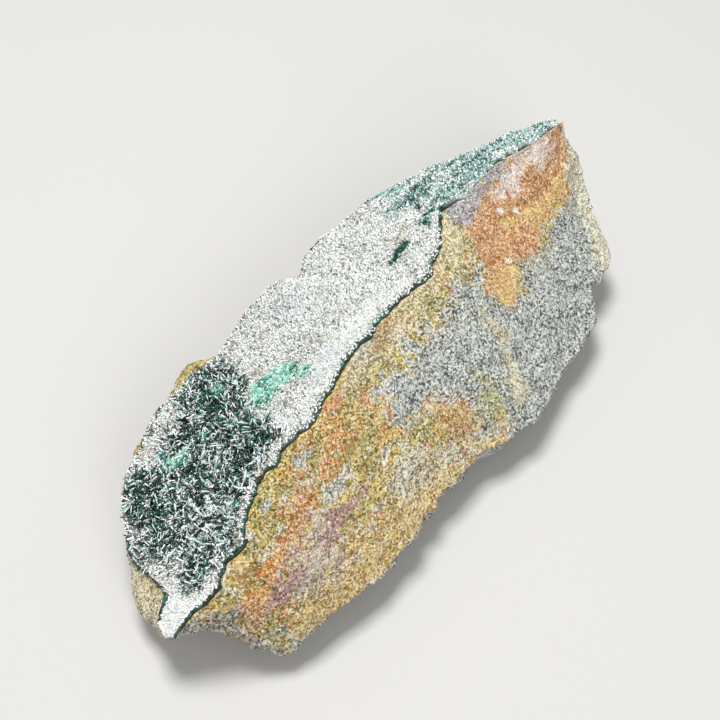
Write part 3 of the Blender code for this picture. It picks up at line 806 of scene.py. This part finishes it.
def clumpiness(points):
    """Above 0 where dark needles crowd, below 0 where pale ones do: noise, and a soft hump for each clump."""
    total = 0.7 * fractal_noise(points, 4.0, 3, seed=251)
    for sign, clumps in ((1.0, DARK_CLUMPS), (-1.0, PALE_CLUMPS)):
        for x, y, radius in clumps:
            away = np.hypot(points[..., 0] - x, points[..., 1] - y)
            total = total + 0.8 * sign * np.exp(-((away / radius) ** 2))
    return total


def zones(points, outlines, soft, ragged, seed):
    """The greatest share of several zones of one kind."""
    return np.max([zone(points, outline, soft, ragged, seed) for outline in outlines], 0)


def crust_zones(points):
    """Shares of the bed, the teal band, the mint patches and the dark gaps at each point, by name."""
    specks = zones(points, SPECKLED, 1.5, 1.5, 233) * s_curve(smooth_noise(points, 1.1, seed=235) * 4 + 0.4)
    return {
        "bed": zone(points, BED, soft=3.5, ragged=2.2, seed=201),
        "teal": zone(points, TEAL_BAND, soft=8.0, ragged=4.0, seed=211),
        "mint": zones(points, MINT, 1.4, 2.2, 221),
        "gaps": np.maximum(zones(points, DARK_GAPS, 0.7, 1.3, 231), specks),
    }


def tail_rim(points):
    """1 on the thin dark rim at the tail, where almost no druse grew."""
    return zone(points, TAIL_RIM, soft=1.0, ragged=1.0, seed=251)


def dark_line(points):
    """1 where the crust's broken edges are dark, 0 towards the tip, where the crust thins out."""
    start, end = LINE_ENDS
    return s_curve((end - points[..., 0]) / (end - start))


def whiter(points):
    """How much whiter the druse is: fully on the tongue at the tail's end, and a good half along the
    middle of the ridge."""
    tongue = s_curve((-67 - points[..., 0]) / 2.5)
    return np.maximum(tongue, 0.6 * zone(points, WHITE_STRIP, 4.0, 3.0, seed=261))


def sheet_colours(points, share_across):
    """Colour of the sheet between the crystals: grey under pale druse, near black in the bed, green at the
    broken edges."""
    here = crust_zones(points)
    edge = s_curve(1.6 - 36 * np.minimum(share_across, 1 - share_across)) * dark_line(points)
    edge = np.maximum(edge, tail_rim(points))
    green_edge = edge * s_curve(fractal_noise(points, 1.3, 3, seed=241) * 3 - 0.4)
    colour = np.broadcast_to(linear("#a8aca4"), points.shape).copy()
    layers = [
        (whiter(points), "#d8dcd8"), (here["bed"], "#1a2c26"), (here["teal"], "#7c9c96"),
        (here["mint"], "#58a890"), (here["gaps"], "#185848"), (edge, "#122620"), (green_edge, "#2c7060"),
    ]
    for share, code in layers:
        colour = colour + (linear(code) - colour) * share[..., None]
    return colour


sheet_points, sheet_faces = slab(crust_under, crust_top)
sheet_mesh = fill_mesh("crust_sheet", sheet_points, sheet_faces)
across_share = np.broadcast_to(np.linspace(0, 1, CRUST_COLUMNS), crust_top.shape[:2])
top_colours = sheet_colours(crust_top, across_share).reshape(-1, 3)
under_colours = np.broadcast_to(linear("#1a342c"), top_colours.shape)
paint(sheet_mesh, "sheet_colour", np.concatenate([top_colours, under_colours]))
sheet_u = np.tile(np.repeat(np.linspace(0.004, 0.996, CRUST_STATIONS), CRUST_COLUMNS), 2)
sheet_v = np.concatenate([np.tile(np.linspace(*ends, CRUST_COLUMNS), CRUST_STATIONS)
                          for ends in ((0.52, 0.98), (0.48, 0.06))])  # top and underside
flat_map(sheet_mesh, sheet_u, sheet_v)
sheet_mesh.shade_smooth()
sheet_piece = new_object("crust_sheet", sheet_mesh)

# %% [markdown]
# ## Crystals as copies of one shape
# A crystal is a small closed shape that is repeated thousands of times. One array holds the shape's
# corners; another holds a place, a direction, a width and a length for each crystal; one product gives
# all corners at once. Each copy has one colour, and a small square of its own on the baking map.

# %% Crystal shapes
# A druse grain: a stubby double pyramid. Corners in shares of its width (x, y) and length (z).
GRAIN_SHAPE = np.array([(0.5, 0.05, 0.2), (0.02, 0.46, 0.28), (-0.5, -0.04, 0.22), (0.04, -0.44, 0.3),
                        (0.08, 0.03, 1.0), (0.0, 0.0, -0.4)])
GRAIN_FACES = np.array([
    (0, 1, 4), (1, 2, 4), (2, 3, 4), (3, 0, 4), (1, 0, 5), (2, 1, 5), (3, 2, 5), (0, 3, 5),
])
# An epidote needle: a flattened four-sided column with a chisel end
NEEDLE_SHAPE = np.array([
    (0.5, 0.09, -0.12), (0.12, 0.36, -0.12), (-0.5, -0.09, -0.12), (-0.12, -0.36, -0.12),
    (0.5, 0.09, 0.86), (0.12, 0.36, 0.9), (-0.5, -0.09, 0.84), (-0.12, -0.36, 0.88),
    (0.2, 0, 1.0), (-0.2, 0, 0.97),
])
NEEDLE_FACES = np.array([
    (0, 1, 5), (0, 5, 4), (1, 2, 6), (1, 6, 5), (2, 3, 7), (2, 7, 6), (3, 0, 4), (3, 4, 7),
    (4, 5, 8), (5, 6, 9), (5, 9, 8), (6, 7, 9), (7, 4, 8), (7, 8, 9), (3, 2, 1), (3, 1, 0),
])


def upright_frames(direction, roll):
    """Three axes for each crystal: z along its direction, x and y across it, turned by its roll."""
    helper = np.where(np.abs(direction[:, 2:]) < 0.9, [[0.0, 0.0, 1.0]], [[1.0, 0.0, 0.0]])
    x = np.cross(helper, direction)
    x /= np.linalg.norm(x, axis=1, keepdims=True)
    y = np.cross(direction, x)
    c, s = np.cos(roll)[:, None], np.sin(roll)[:, None]
    return np.stack([x * c + y * s, y * c - x * s, direction], 1)


def leaning(normals, lean):
    """Directions that lean from the normal by a random sideways part of this size."""
    sideways = rng.normal(size=normals.shape)
    sideways -= (sideways * normals).sum(1, keepdims=True) * normals
    sideways /= np.linalg.norm(sideways, axis=1, keepdims=True)
    mixed = normals + sideways * lean[:, None]
    return mixed / np.linalg.norm(mixed, axis=1, keepdims=True)


def crystal_piece(name, shape, faces, roots, direction, width, length, colours):
    """One mesh of many crystals: each corner is root + axes times (width x, width y, length z)."""
    count, corners = len(roots), len(shape)
    axes = upright_frames(direction, rng.uniform(0, 2 * np.pi, count))
    size = np.stack([width, width, length], 1)
    local = shape[None] * size[:, None]
    points = inside_box(roots[:, None] + np.einsum("nkc,ncd->nkd", local, axes))
    numbers = faces[None] + (np.arange(count) * corners)[:, None, None]
    mesh = fill_mesh(name, points.reshape(-1, 3), [numbers.reshape(-1, 3)])
    paint(mesh, "tint", np.repeat(colours, corners, axis=0))
    side = int(np.ceil(np.sqrt(count)))
    cell = np.stack([np.arange(count) % side, np.arange(count) // side], 1)
    # A slanted view of the shape, drawn small inside the crystal's own square of the map
    flat = np.stack([0.5 + 0.56 * shape[:, 0] + 0.25 * shape[:, 1],
                     0.25 + 0.5 * shape[:, 2] + 0.2 * shape[:, 1]], 1)
    places = (cell[:, None] + np.clip(flat, 0.1, 0.9)[None]) / side
    corner = places.reshape(-1, 2)[numbers.reshape(-1)]
    mesh.uv_layers.new(name="OFBake").data.foreach_set("uv", corner.astype(np.float32).ravel())
    print(name + ":", count, "crystals,", count * len(faces), "triangles")
    return new_object(name, mesh)


def pick_colours(chances, count):
    """A colour for each crystal, drawn from a few hex codes that each have a chance."""
    table = np.array([linear(code) for code in chances])
    shares = np.array(list(chances.values()), float)
    return table[rng.choice(len(table), count, p=shares / shares.sum())]


# %% [markdown]
# ## Where crystals stand
# Crystals crowd each other at an even spacing. The sheet is laid out as a grid whose cells are about one
# crystal wide, each cell gets one root at a random place in it, and cells that are too small for a
# crystal, at the narrow ends, are mostly skipped.


# %% Roots
# Millimetres between the roots of each kind of crystal
PITCH = {"druse": 0.42, "edge": 0.32, "needles": 0.34, "prisms": 1.9, "fibres": 0.34, "teal": 0.42}
JUST_OVER_ONE = 1.001  # keeps the last root short of the last row, which has no next one


def roots_on_sheet(pitch):
    """Jittered roots on the crust's top, one for each cell of about this pitch in mm, with normals and the
    distance to the nearest long edge in mm."""
    length = np.linalg.norm(np.diff(crust_top.mean(1), axis=0), axis=1).sum()
    width = np.linalg.norm(np.diff(crust_top, axis=1), axis=2).sum(1)
    rows, columns = int(length / pitch), int(width.max() / pitch)
    i, j = np.meshgrid(np.arange(rows), np.arange(columns), indexing="ij")
    s = ((i + rng.random(i.shape)) / rows).ravel()
    t = ((j + rng.random(i.shape)) / columns).ravel()
    at_row, at_column = s * (CRUST_STATIONS - JUST_OVER_ONE), t * (CRUST_COLUMNS - JUST_OVER_ONE)
    row, column = at_row.astype(int), at_column.astype(int)
    a, b = (at_row - row)[:, None], (at_column - column)[:, None]

    def between(grid):
        near = grid[row, column] * (1 - b) + grid[row, column + 1] * b
        far = grid[row + 1, column] * (1 - b) + grid[row + 1, column + 1] * b
        return near * (1 - a) + far * a

    roots, normals = between(crust_top), between(crust_out)
    normals /= np.linalg.norm(normals, axis=1, keepdims=True)
    here = np.interp(at_row, np.arange(CRUST_STATIONS), width)
    step = np.linalg.norm(crust_top[row + 1, column] - crust_top[row, column], axis=1)
    cell = here / columns * step * (CRUST_STATIONS - 1) / rows
    kept = rng.random(len(roots)) < np.clip(cell / pitch**2, 0, 1)
    to_edge = np.minimum(t, 1 - t) * here
    return roots[kept], normals[kept], to_edge[kept]


# %% Fine druse
# Hex codes of the crystals, each with its chance. The white and pale grains are painted reflection: the light
# that the tiny crystal faces throw back.
PALE_DRUSE = {"#fbfcfb": 34, "#e6e9e7": 26, "#cfd3cf": 18, "#adaca4": 11, "#8a8276": 7, "#48524e": 4}
GREENISH_DRUSE = {"#f6faf8": 42, "#dbe7e3": 20, "#a3bdb6": 14, "#5f877e": 14, "#2d4b43": 10}
CRYSTAL_PULL = 0.3  # noise in the teal band is drawn out by one over this along the rock
DRUSE_SPLIT = 5.0  # mm, the x at which the druse is parted into two pieces of about one size


def streaks(points):
    """Noise drawn out along the rock, which parts green and pale in the teal band."""
    return fractal_noise(drawn_out(points, CRYSTAL_PULL), 2.6, 3, seed=321)


roots, normals, to_edge = roots_on_sheet(PITCH["druse"])
here = crust_zones(roots)
bare = np.maximum.reduce([
    here["bed"] * (0.66 + 0.35 * clumpiness(roots)), here["teal"] * (0.42 + 1.3 * streaks(roots)),
    0.6 * here["mint"], here["gaps"]])
broken_back = 0.8 * s_curve(fractal_noise(roots, 3.0, 2, seed=303) * 2 - 0.7)
bare_edge = 0.03 + 0.1 * rng.random(len(roots)) + (broken_back + 1.3 * tail_rim(roots)) * dark_line(roots)
kept = (rng.random(len(roots)) > bare) & (to_edge > bare_edge)
roots, normals, greens = roots[kept], normals[kept], np.maximum(here["bed"], here["teal"])[kept]
count = len(roots)
pale, greenish = pick_colours(PALE_DRUSE, count), pick_colours(GREENISH_DRUSE, count)
green = rng.random(count) < 0.7 * greens
brown = 0.6 * s_curve(fractal_noise(roots, 5.0, 4, seed=305) * 1.3 - 0.3)[:, None]
blue = 0.6 * s_curve(fractal_noise(roots, 7.0, 3, seed=307) * 1.6 - 0.5)[:, None]
clouded = pale * (1 - brown * (1 - linear("#dcd0c0"))) * (1 - blue * (1 - linear("#e0e8f0")))
clouded += 0.45 * whiter(roots)[:, None] * (linear("#fcfcfa") - clouded)
tint = np.where(green[:, None], greenish, clouded)
grain_width, grain_length = rng.uniform(0.36, 0.64, count), rng.uniform(0.4, 0.72, count)
lean = leaning(normals, rng.uniform(0.0, 0.9, count))
druse = {}
at_tail = roots[:, 0] < DRUSE_SPLIT
for name, chosen in (("fine_druse_tail", at_tail), ("fine_druse_tip", ~at_tail)):
    druse[name] = crystal_piece(
        name, GRAIN_SHAPE, GRAIN_FACES, (roots - normals * 0.05)[chosen], lean[chosen],
        grain_width[chosen], grain_length[chosen], tint[chosen])

# %% Dark grains along the broken edges
BLACK_EDGE = {"#0a1411": 36, "#10231e": 30, "#173a31": 22, "#3d6b60": 12}
GREEN_EDGE = {"#1f5f4e": 34, "#2f8670": 26, "#16463a": 28, "#7fbfae": 12}

roots, normals, to_edge = roots_on_sheet(PITCH["edge"])
reach = 0.15 + 0.55 * s_curve(smooth_noise(roots, 1.5, seed=343) + 0.3) + 1.3 * tail_rim(roots)
kept = (to_edge < reach) & (rng.random(len(roots)) < 0.75 * dark_line(roots))
roots, normals = roots[kept], normals[kept]
count = len(roots)
edge_green = s_curve(fractal_noise(roots, 1.6, 3, seed=341) * 3 - 0.2)[:, None]
edge_tint = pick_colours(BLACK_EDGE, count) * (1 - edge_green) + pick_colours(GREEN_EDGE, count) * edge_green
edge_grains = crystal_piece(
    "edge_grains", GRAIN_SHAPE, GRAIN_FACES, roots - normals * rng.uniform(0.0, 0.5, (count, 1)),
    leaning(normals, rng.uniform(0.4, 2.5, count)), rng.uniform(0.3, 0.6, count),
    rng.uniform(0.3, 0.6, count), edge_tint)

# %% [markdown]
# ## The bed of needles
# In the bed the epidote had room to grow: glassy, nearly black needles of one to two millimetres lie
# across each other at all angles, with prisms of up to four millimetres among them, and their faces
# throw pale glints. A good share of the needles and prisms is drawn pale: these are painted glints, the
# light that their glassy faces throw. Near the edge of the crust they are short.

# %% Needles
DARK_NEEDLES = {"#0b1512": 34, "#12302a": 24, "#1c4d42": 18, "#2f7565": 14, "#5ea396": 10}
# Painted glints: the pale colours of needles that stand for light thrown by glassy faces
PAINTED_GLINTS = {"#fbfefd": 50, "#e0eeea": 30, "#a9cac2": 20}

roots, normals, to_edge = roots_on_sheet(PITCH["needles"])
here = crust_zones(roots)
dark_here = clumpiness(roots)
kept = (rng.random(len(roots)) < here["bed"] * (0.5 + 0.3 * dark_here)) & (here["mint"] < 0.6)
kept &= to_edge > 0.4 + 1.2 * tail_rim(roots)
roots, normals, dark_here, to_edge = roots[kept], normals[kept], dark_here[kept], to_edge[kept]
count = len(roots)
dark, painted_glint_tint = pick_colours(DARK_NEEDLES, count), pick_colours(PAINTED_GLINTS, count)
# Painted glints: a share of the needles, fewer where dark ones crowd, is drawn pale
painted_glints = rng.random(count) < 0.34 - 0.34 * dark_here
needle_tint = np.where(painted_glints[:, None], painted_glint_tint, dark)
needle_length = np.minimum(rng.uniform(0.7, 2.3, count), 0.4 + 0.8 * to_edge)
needle_width = rng.uniform(0.22, 0.44, count)
lift = np.where(painted_glints, 0.2, -0.1)[:, None]
coarse_needles = crystal_piece(
    "coarse_needles", NEEDLE_SHAPE, NEEDLE_FACES, roots + normals * lift,
    leaning(normals, rng.uniform(0.7, 3.5, count)), needle_width, needle_length, needle_tint)

# %% Prisms that stand highest in the bed
# Painted glints: the pale #cfe0db prisms stand for light thrown by glassy faces
PRISMS = {"#111d1a": 40, "#1b3029": 30, "#2c5247": 18, "#cfe0db": 12}

roots, normals, to_edge = roots_on_sheet(PITCH["prisms"])
here = crust_zones(roots)
kept = (here["bed"] > 0.75) & (to_edge > 3.0) & (here["mint"] < 0.2)
roots, normals = roots[kept], normals[kept]
count = len(roots)
bed_prisms = crystal_piece(
    "bed_prisms", NEEDLE_SHAPE, NEEDLE_FACES, roots - normals * 0.2,
    leaning(normals, rng.uniform(0.6, 2.2, count)), rng.uniform(0.4, 0.8, count),
    rng.uniform(1.8, 3.8, count), pick_colours(PRISMS, count))

# %% [markdown]
# ## Mint fibres and the teal band
# The mint patches are bundles of silky fibres that lie almost flat and run the same way, up the slope
# towards the tip. In the teal band near the tip small green prisms stand between pale grains.

# %% Mint fibres
FIBRE_RUN = np.array([0.83, -0.30, 0.25])  # the way the fibres lie
DEEP_MINT = {"#40a88c": 28, "#207860": 24, "#144c40": 18, "#80d0b8": 18, "#e8f6f0": 12}
FRESH_MINT = {"#b4ecda": 28, "#84d8c0": 24, "#58c0a4": 14, "#dcf8f0": 18, "#f4fcf8": 13, "#c8dca0": 3}

roots, normals, to_edge = roots_on_sheet(PITCH["fibres"])
crowding = crust_zones(roots)["mint"] * (0.75 + 0.5 * smooth_noise(roots, 1.6, seed=333))
kept = (rng.random(len(roots)) < crowding) & (to_edge > 0.3)
roots, normals = roots[kept], normals[kept]
count = len(roots)
run = FIBRE_RUN + rng.normal(0, 0.45, (count, 3))
run += normals * (0.25 - (run * normals).sum(1, keepdims=True))
run /= np.linalg.norm(run, axis=1, keepdims=True)
deep, fresh = pick_colours(DEEP_MINT, count), pick_colours(FRESH_MINT, count)
towards_tip = 0.04 * (roots[:, 0] + 24)  # paler towards the tip, past the middle of the long patch at -24 mm
paler = 0.55 + np.clip(towards_tip, -0.2, 0.3) + 0.9 * fractal_noise(roots, 3.0, 2, seed=331)
fresher = rng.random(count) < paler
mint_fibres = crystal_piece(
    "mint_fibres", NEEDLE_SHAPE, NEEDLE_FACES, roots, run, rng.uniform(0.2, 0.36, count),
    rng.uniform(0.7, 1.9, count), np.where(fresher[:, None], fresh, deep))

# %% Teal prisms
LIGHT_TEAL = {"#70a89c": 24, "#98c0b8": 22, "#b8d0cc": 20, "#40786c": 10, "#f4f8f8": 24}
DARK_TEAL = {"#205448": 28, "#387064": 24, "#142e28": 24, "#78a8a0": 12, "#e8f0ee": 12}
GAP_GREEN = {"#185848": 36, "#207060": 24, "#103830": 32, "#9cc8bc": 8}

roots, normals, to_edge = roots_on_sheet(PITCH["teal"])
here = crust_zones(roots)
crowding = here["teal"] * (0.45 + 1.5 * streaks(roots)) + 0.9 * here["gaps"]
kept = (rng.random(len(roots)) < crowding) & (to_edge > 0.1)
roots, normals = roots[kept], normals[kept]
count = len(roots)
light_teal, dark_teal = pick_colours(LIGHT_TEAL, count), pick_colours(DARK_TEAL, count)
darkness = 0.25 + 1.2 * fractal_noise(drawn_out(roots, CRYSTAL_PULL), 1.7, 2, seed=325)
teal_tint = np.where((rng.random(count) < darkness)[:, None], dark_teal, light_teal)
gap_tint = pick_colours(GAP_GREEN, count)
in_gap = (rng.random(count) < here["gaps"][kept])[:, None]
teal_length = np.minimum(rng.uniform(0.5, 1.2, count), 0.35 + 0.4 * to_edge[kept])
teal_prisms = crystal_piece(
    "teal_prisms", NEEDLE_SHAPE, NEEDLE_FACES, roots - normals * 0.05,
    leaning(normals, rng.uniform(0.5, 2.2, count)), rng.uniform(0.26, 0.46, count), teal_length,
    np.where(in_gap, gap_tint, teal_tint))

# %% [markdown]
# ## Materials
# The stone is granular: each grain has its own brightness between the two colours that the zones gave.
# Epidote is glassy, with a high refractive index, so that even black faces catch the light. The grains'
# size is a real size in millimetres, turned into the texture's scale.


# %% One node at a time
def add(tree, kind, settings=(), **inputs):
    """Adds a node, or fills one that is there. Settings are its properties. Inputs go by name, or by number
    as i0, i1 and so on, and are values, or output sockets to link from."""
    made = tree.nodes.new(kind) if isinstance(kind, str) else kind
    for name, value in dict(settings).items():
        setattr(made, name, value)
    for name, value in inputs.items():
        key = int(name[1:]) if name[0] == "i" and name[1:].isdigit() else name.replace("_", " ")
        socket = made.inputs[key]
        if isinstance(value, bpy.types.NodeSocket):
            tree.links.new(value, socket)
        else:
            socket.default_value = value
    return made


def blank(name):
    """A material with a Principled shader and nothing else."""
    material = bpy.data.materials.new(name)
    material.use_nodes = True
    return material, material.node_tree, material.node_tree.nodes["Principled BSDF"]


def per_mm(size):
    """A texture's scale for a feature of this size in millimetres, because coordinates are in metres."""
    return 1.0 / (size * MM)


# %% Broken skarn
def broken_skarn():
    """Granular skarn. Cells of 0.45 mm give each grain a brightness, finer noise breaks them up, and some
    grains are glassy. Dark pits between them are painted shade, the shade in the hollows between grains,
    and pale flecks of 0.38 mm are painted highlights, the sparkle of light on single grains."""
    material, tree, shader = blank("broken_skarn")
    place = add(tree, "ShaderNodeTexCoord").outputs["Object"]
    dark = add(tree, "ShaderNodeAttribute", {"attribute_name": "dark_grain"}).outputs["Color"]
    light = add(tree, "ShaderNodeAttribute", {"attribute_name": "light_grain"}).outputs["Color"]
    cells = add(tree, "ShaderNodeTexVoronoi", Vector=place, Scale=per_mm(0.45), Randomness=1.0)
    own = add(tree, "ShaderNodeSeparateColor", Color=cells.outputs["Color"])
    fine = add(tree, "ShaderNodeTexNoise", Vector=place, Scale=per_mm(0.4), Detail=3.0, Roughness=0.65)
    broad = add(tree, "ShaderNodeTexNoise", Vector=place, Scale=per_mm(3.0), Detail=3.0, Roughness=0.6)
    both = add(tree, "ShaderNodeMath", {"operation": "MULTIPLY_ADD"},
               i0=fine.outputs["Fac"], i1=1.6, i2=own.outputs["Red"])
    all_three = add(tree, "ShaderNodeMath", {"operation": "MULTIPLY_ADD"},
                    i0=broad.outputs["Fac"], i1=0.9, i2=both.outputs[0])
    share = add(tree, "ShaderNodeMapRange", Value=all_three.outputs[0], From_Min=1.32, From_Max=2.2)
    colour = add(tree, "ShaderNodeMix", {"data_type": "RGBA"}, Factor=share.outputs[0], i6=dark, i7=light)
    # Painted shade: dark pits multiplied into the colour, for the shade in the hollows between grains
    pits = add(tree, "ShaderNodeTexNoise", Vector=place, Scale=per_mm(0.6), Detail=4.0, Roughness=0.7)
    painted_pit_shade = add(tree, "ShaderNodeMapRange", Value=pits.outputs["Fac"], From_Min=0.34, From_Max=0.47,
                    To_Min=0.32, To_Max=1.0)
    shaded = add(tree, "ShaderNodeMix", {"data_type": "RGBA", "blend_type": "MULTIPLY"}, Factor=1.0,
                 i6=colour.outputs[2], i7=painted_pit_shade.outputs[0])
    # Painted highlights: flecks of the light grain colour mixed with near white, for the sparkle of light on
    # grains
    painted_highlight_colour = add(tree, "ShaderNodeMix", {"data_type": "RGBA"}, Factor=0.6,
                i6=light, i7=(*linear("#fcf8e8"), 1.0))
    flecks = add(tree, "ShaderNodeTexVoronoi", Vector=place, Scale=per_mm(0.38), Randomness=1.0)
    fleck_own = add(tree, "ShaderNodeSeparateColor", Color=flecks.outputs["Color"])
    painted_highlight = add(tree, "ShaderNodeMapRange", Value=fleck_own.outputs["Blue"], From_Min=0.80, From_Max=0.90,
                To_Max=0.8)
    sparked = add(tree, "ShaderNodeMix", {"data_type": "RGBA"}, Factor=painted_highlight.outputs[0],
                  i6=shaded.outputs[2], i7=painted_highlight_colour.outputs[2])
    glassy = add(tree, "ShaderNodeMapRange", Value=own.outputs["Green"], From_Min=0.8, From_Max=0.9,
                 To_Min=0.85, To_Max=0.32)
    bump = add(tree, "ShaderNodeBump", Height=all_three.outputs[0], Distance=0.35 * MM, Strength=1.0)
    add(tree, shader, Base_Color=sparked.outputs[2], Roughness=glassy.outputs[0], Specular_IOR_Level=0.35,
        Normal=bump.outputs[0])
    return material


# %% Massive epidote
def massive_epidote():
    """The sheet between the crystals: dark, waxy, and mottled at 0.6 mm."""
    material, tree, shader = blank("massive_epidote")
    place = add(tree, "ShaderNodeTexCoord").outputs["Object"]
    colour = add(tree, "ShaderNodeAttribute", {"attribute_name": "sheet_colour"}).outputs["Color"]
    mottle = add(tree, "ShaderNodeTexNoise", Vector=place, Scale=per_mm(0.6), Detail=3.0, Roughness=0.6)
    share = add(tree, "ShaderNodeMapRange", Value=mottle.outputs["Fac"], From_Min=0.3, From_Max=0.7,
                To_Min=0.5, To_Max=1.35)
    mixed = add(tree, "ShaderNodeMix", {"data_type": "RGBA", "blend_type": "MULTIPLY"}, Factor=1.0,
                i6=colour, i7=share.outputs[0])
    bump = add(tree, "ShaderNodeBump", Height=mottle.outputs["Fac"], Distance=0.3 * MM, Strength=0.7)
    add(tree, shader, Base_Color=mixed.outputs[2], Roughness=0.5, IOR=1.6, Normal=bump.outputs[0])
    return material


# %% Crystal faces
def crystal_faces(name, roughness, ior):
    """Crystals: each has its own tint, clouded a little inside, behind smooth flat faces."""
    material, tree, shader = blank(name)
    place = add(tree, "ShaderNodeTexCoord").outputs["Object"]
    tint = add(tree, "ShaderNodeAttribute", {"attribute_name": "tint"}).outputs["Color"]
    cloud = add(tree, "ShaderNodeTexNoise", Vector=place, Scale=per_mm(0.4), Detail=2.0)
    share = add(tree, "ShaderNodeMapRange", Value=cloud.outputs["Fac"], From_Min=0.3, From_Max=0.7,
                To_Min=0.82, To_Max=1.12)
    mixed = add(tree, "ShaderNodeMix", {"data_type": "RGBA", "blend_type": "MULTIPLY"}, Factor=1.0,
                i6=tint, i7=share.outputs[0])
    add(tree, shader, Base_Color=mixed.outputs[2], Roughness=roughness, IOR=ior)
    return material


sugary = crystal_faces("sugary_druse", 0.5, 1.55)
glassy = crystal_faces("glassy_epidote", 0.2, 1.73)
silky = crystal_faces("silky_fibres", 0.4, 1.6)
finishes = [
    (sheet_piece, massive_epidote()), (druse["fine_druse_tail"], sugary), (druse["fine_druse_tip"], sugary),
    (edge_grains, glassy), (coarse_needles, glassy), (bed_prisms, glassy), (teal_prisms, glassy),
    (mint_fibres, silky),
]
rock_piece.data.materials.append(broken_skarn())
for piece, material in finishes:
    piece.data.materials.append(material)

# %% [markdown]
# ## Fixing the pieces to the frame
# The specimen has no moving parts. Every piece rides on the one body, the rock's surface stands for the
# rock's solid, and the sheet with its crystals stands for the crust's.

# %% Riding
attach(rock_piece, "root")
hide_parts("host_rock")
for piece, _ in finishes:
    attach(piece, "root")
    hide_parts("epidote_crust")

# %% [markdown]
# ## Floor, light and camera
# The specimen lies on a plain pale floor under a large soft lamp above its crust side, with a weaker one
# in front. The camera looks down at 50 degrees, from beside the tail.

# %% Floor
FLOOR_HALF = 1500.0  # mm from the middle to each side
corners = FLOOR_HALF * np.array([(-1, -1, 0), (1, -1, 0), (1, 1, 0), (-1, 1, 0)])
floor = new_object("floor", fill_mesh("floor", corners, [np.array([(0, 1, 2, 3)])]))
paper, paper_tree, paper_shader = blank("matt_paper")
paper_place = add(paper_tree, "ShaderNodeTexCoord").outputs["Object"]
paper_grain = add(paper_tree, "ShaderNodeTexNoise", Vector=paper_place, Scale=per_mm(1.2), Detail=3.0)
paper_bump = add(paper_tree, "ShaderNodeBump", Height=paper_grain.outputs["Fac"], Distance=0.1 * MM,
                 Strength=0.4)
add(paper_tree, paper_shader, Base_Color=(*linear("#c2c1be"), 1.0), Roughness=0.9,
    Normal=paper_bump.outputs[0])
floor.data.materials.append(paper)


# %% Lamps
def lamp(name, place, target, size, watts):
    """A square area lamp that faces its target; places in metres."""
    data = bpy.data.lights.new(name, "AREA")
    data.shape = "SQUARE"
    data.size, data.energy = size, watts
    made = new_object(name, data)
    made.location = place
    made.rotation_euler = (Vector(place) - Vector(target)).to_track_quat("Z", "Y").to_euler()
    return made


lamp("overhead", (0.05, 0.15, 0.9), (0, 0, 0.02), 0.32, 8.8)
lamp("front", (-0.55, -0.65, 0.55), (0, 0, 0.02), 0.5, 4.2)
world = bpy.data.worlds.new("studio")
world.use_nodes = True
add(world.node_tree, world.node_tree.nodes["Background"], Color=(0.97, 0.98, 1.0, 1.0), Strength=0.35)
bpy.context.scene.world = world
bpy.context.scene.view_settings.view_transform = "Standard"

# %% Camera
AIM = to_metres((0.0, 0.0, 20.0))
LOOK_DOWN, FROM_TAIL = np.radians(50.0), np.radians(30.0)
DISTANCE = 0.320  # m from the camera to what it aims at
level = np.cos(LOOK_DOWN)
back = np.array([-level * np.cos(FROM_TAIL), -level * np.sin(FROM_TAIL), np.sin(LOOK_DOWN)])
camera_data = bpy.data.cameras.new("camera")
camera_data.lens, camera_data.sensor_width = 70.0, 36.0
camera = new_object("camera", camera_data)
camera.location = AIM + back * DISTANCE
camera.rotation_euler = Vector(back).to_track_quat("Z", "Y").to_euler()
bpy.context.scene.camera = camera
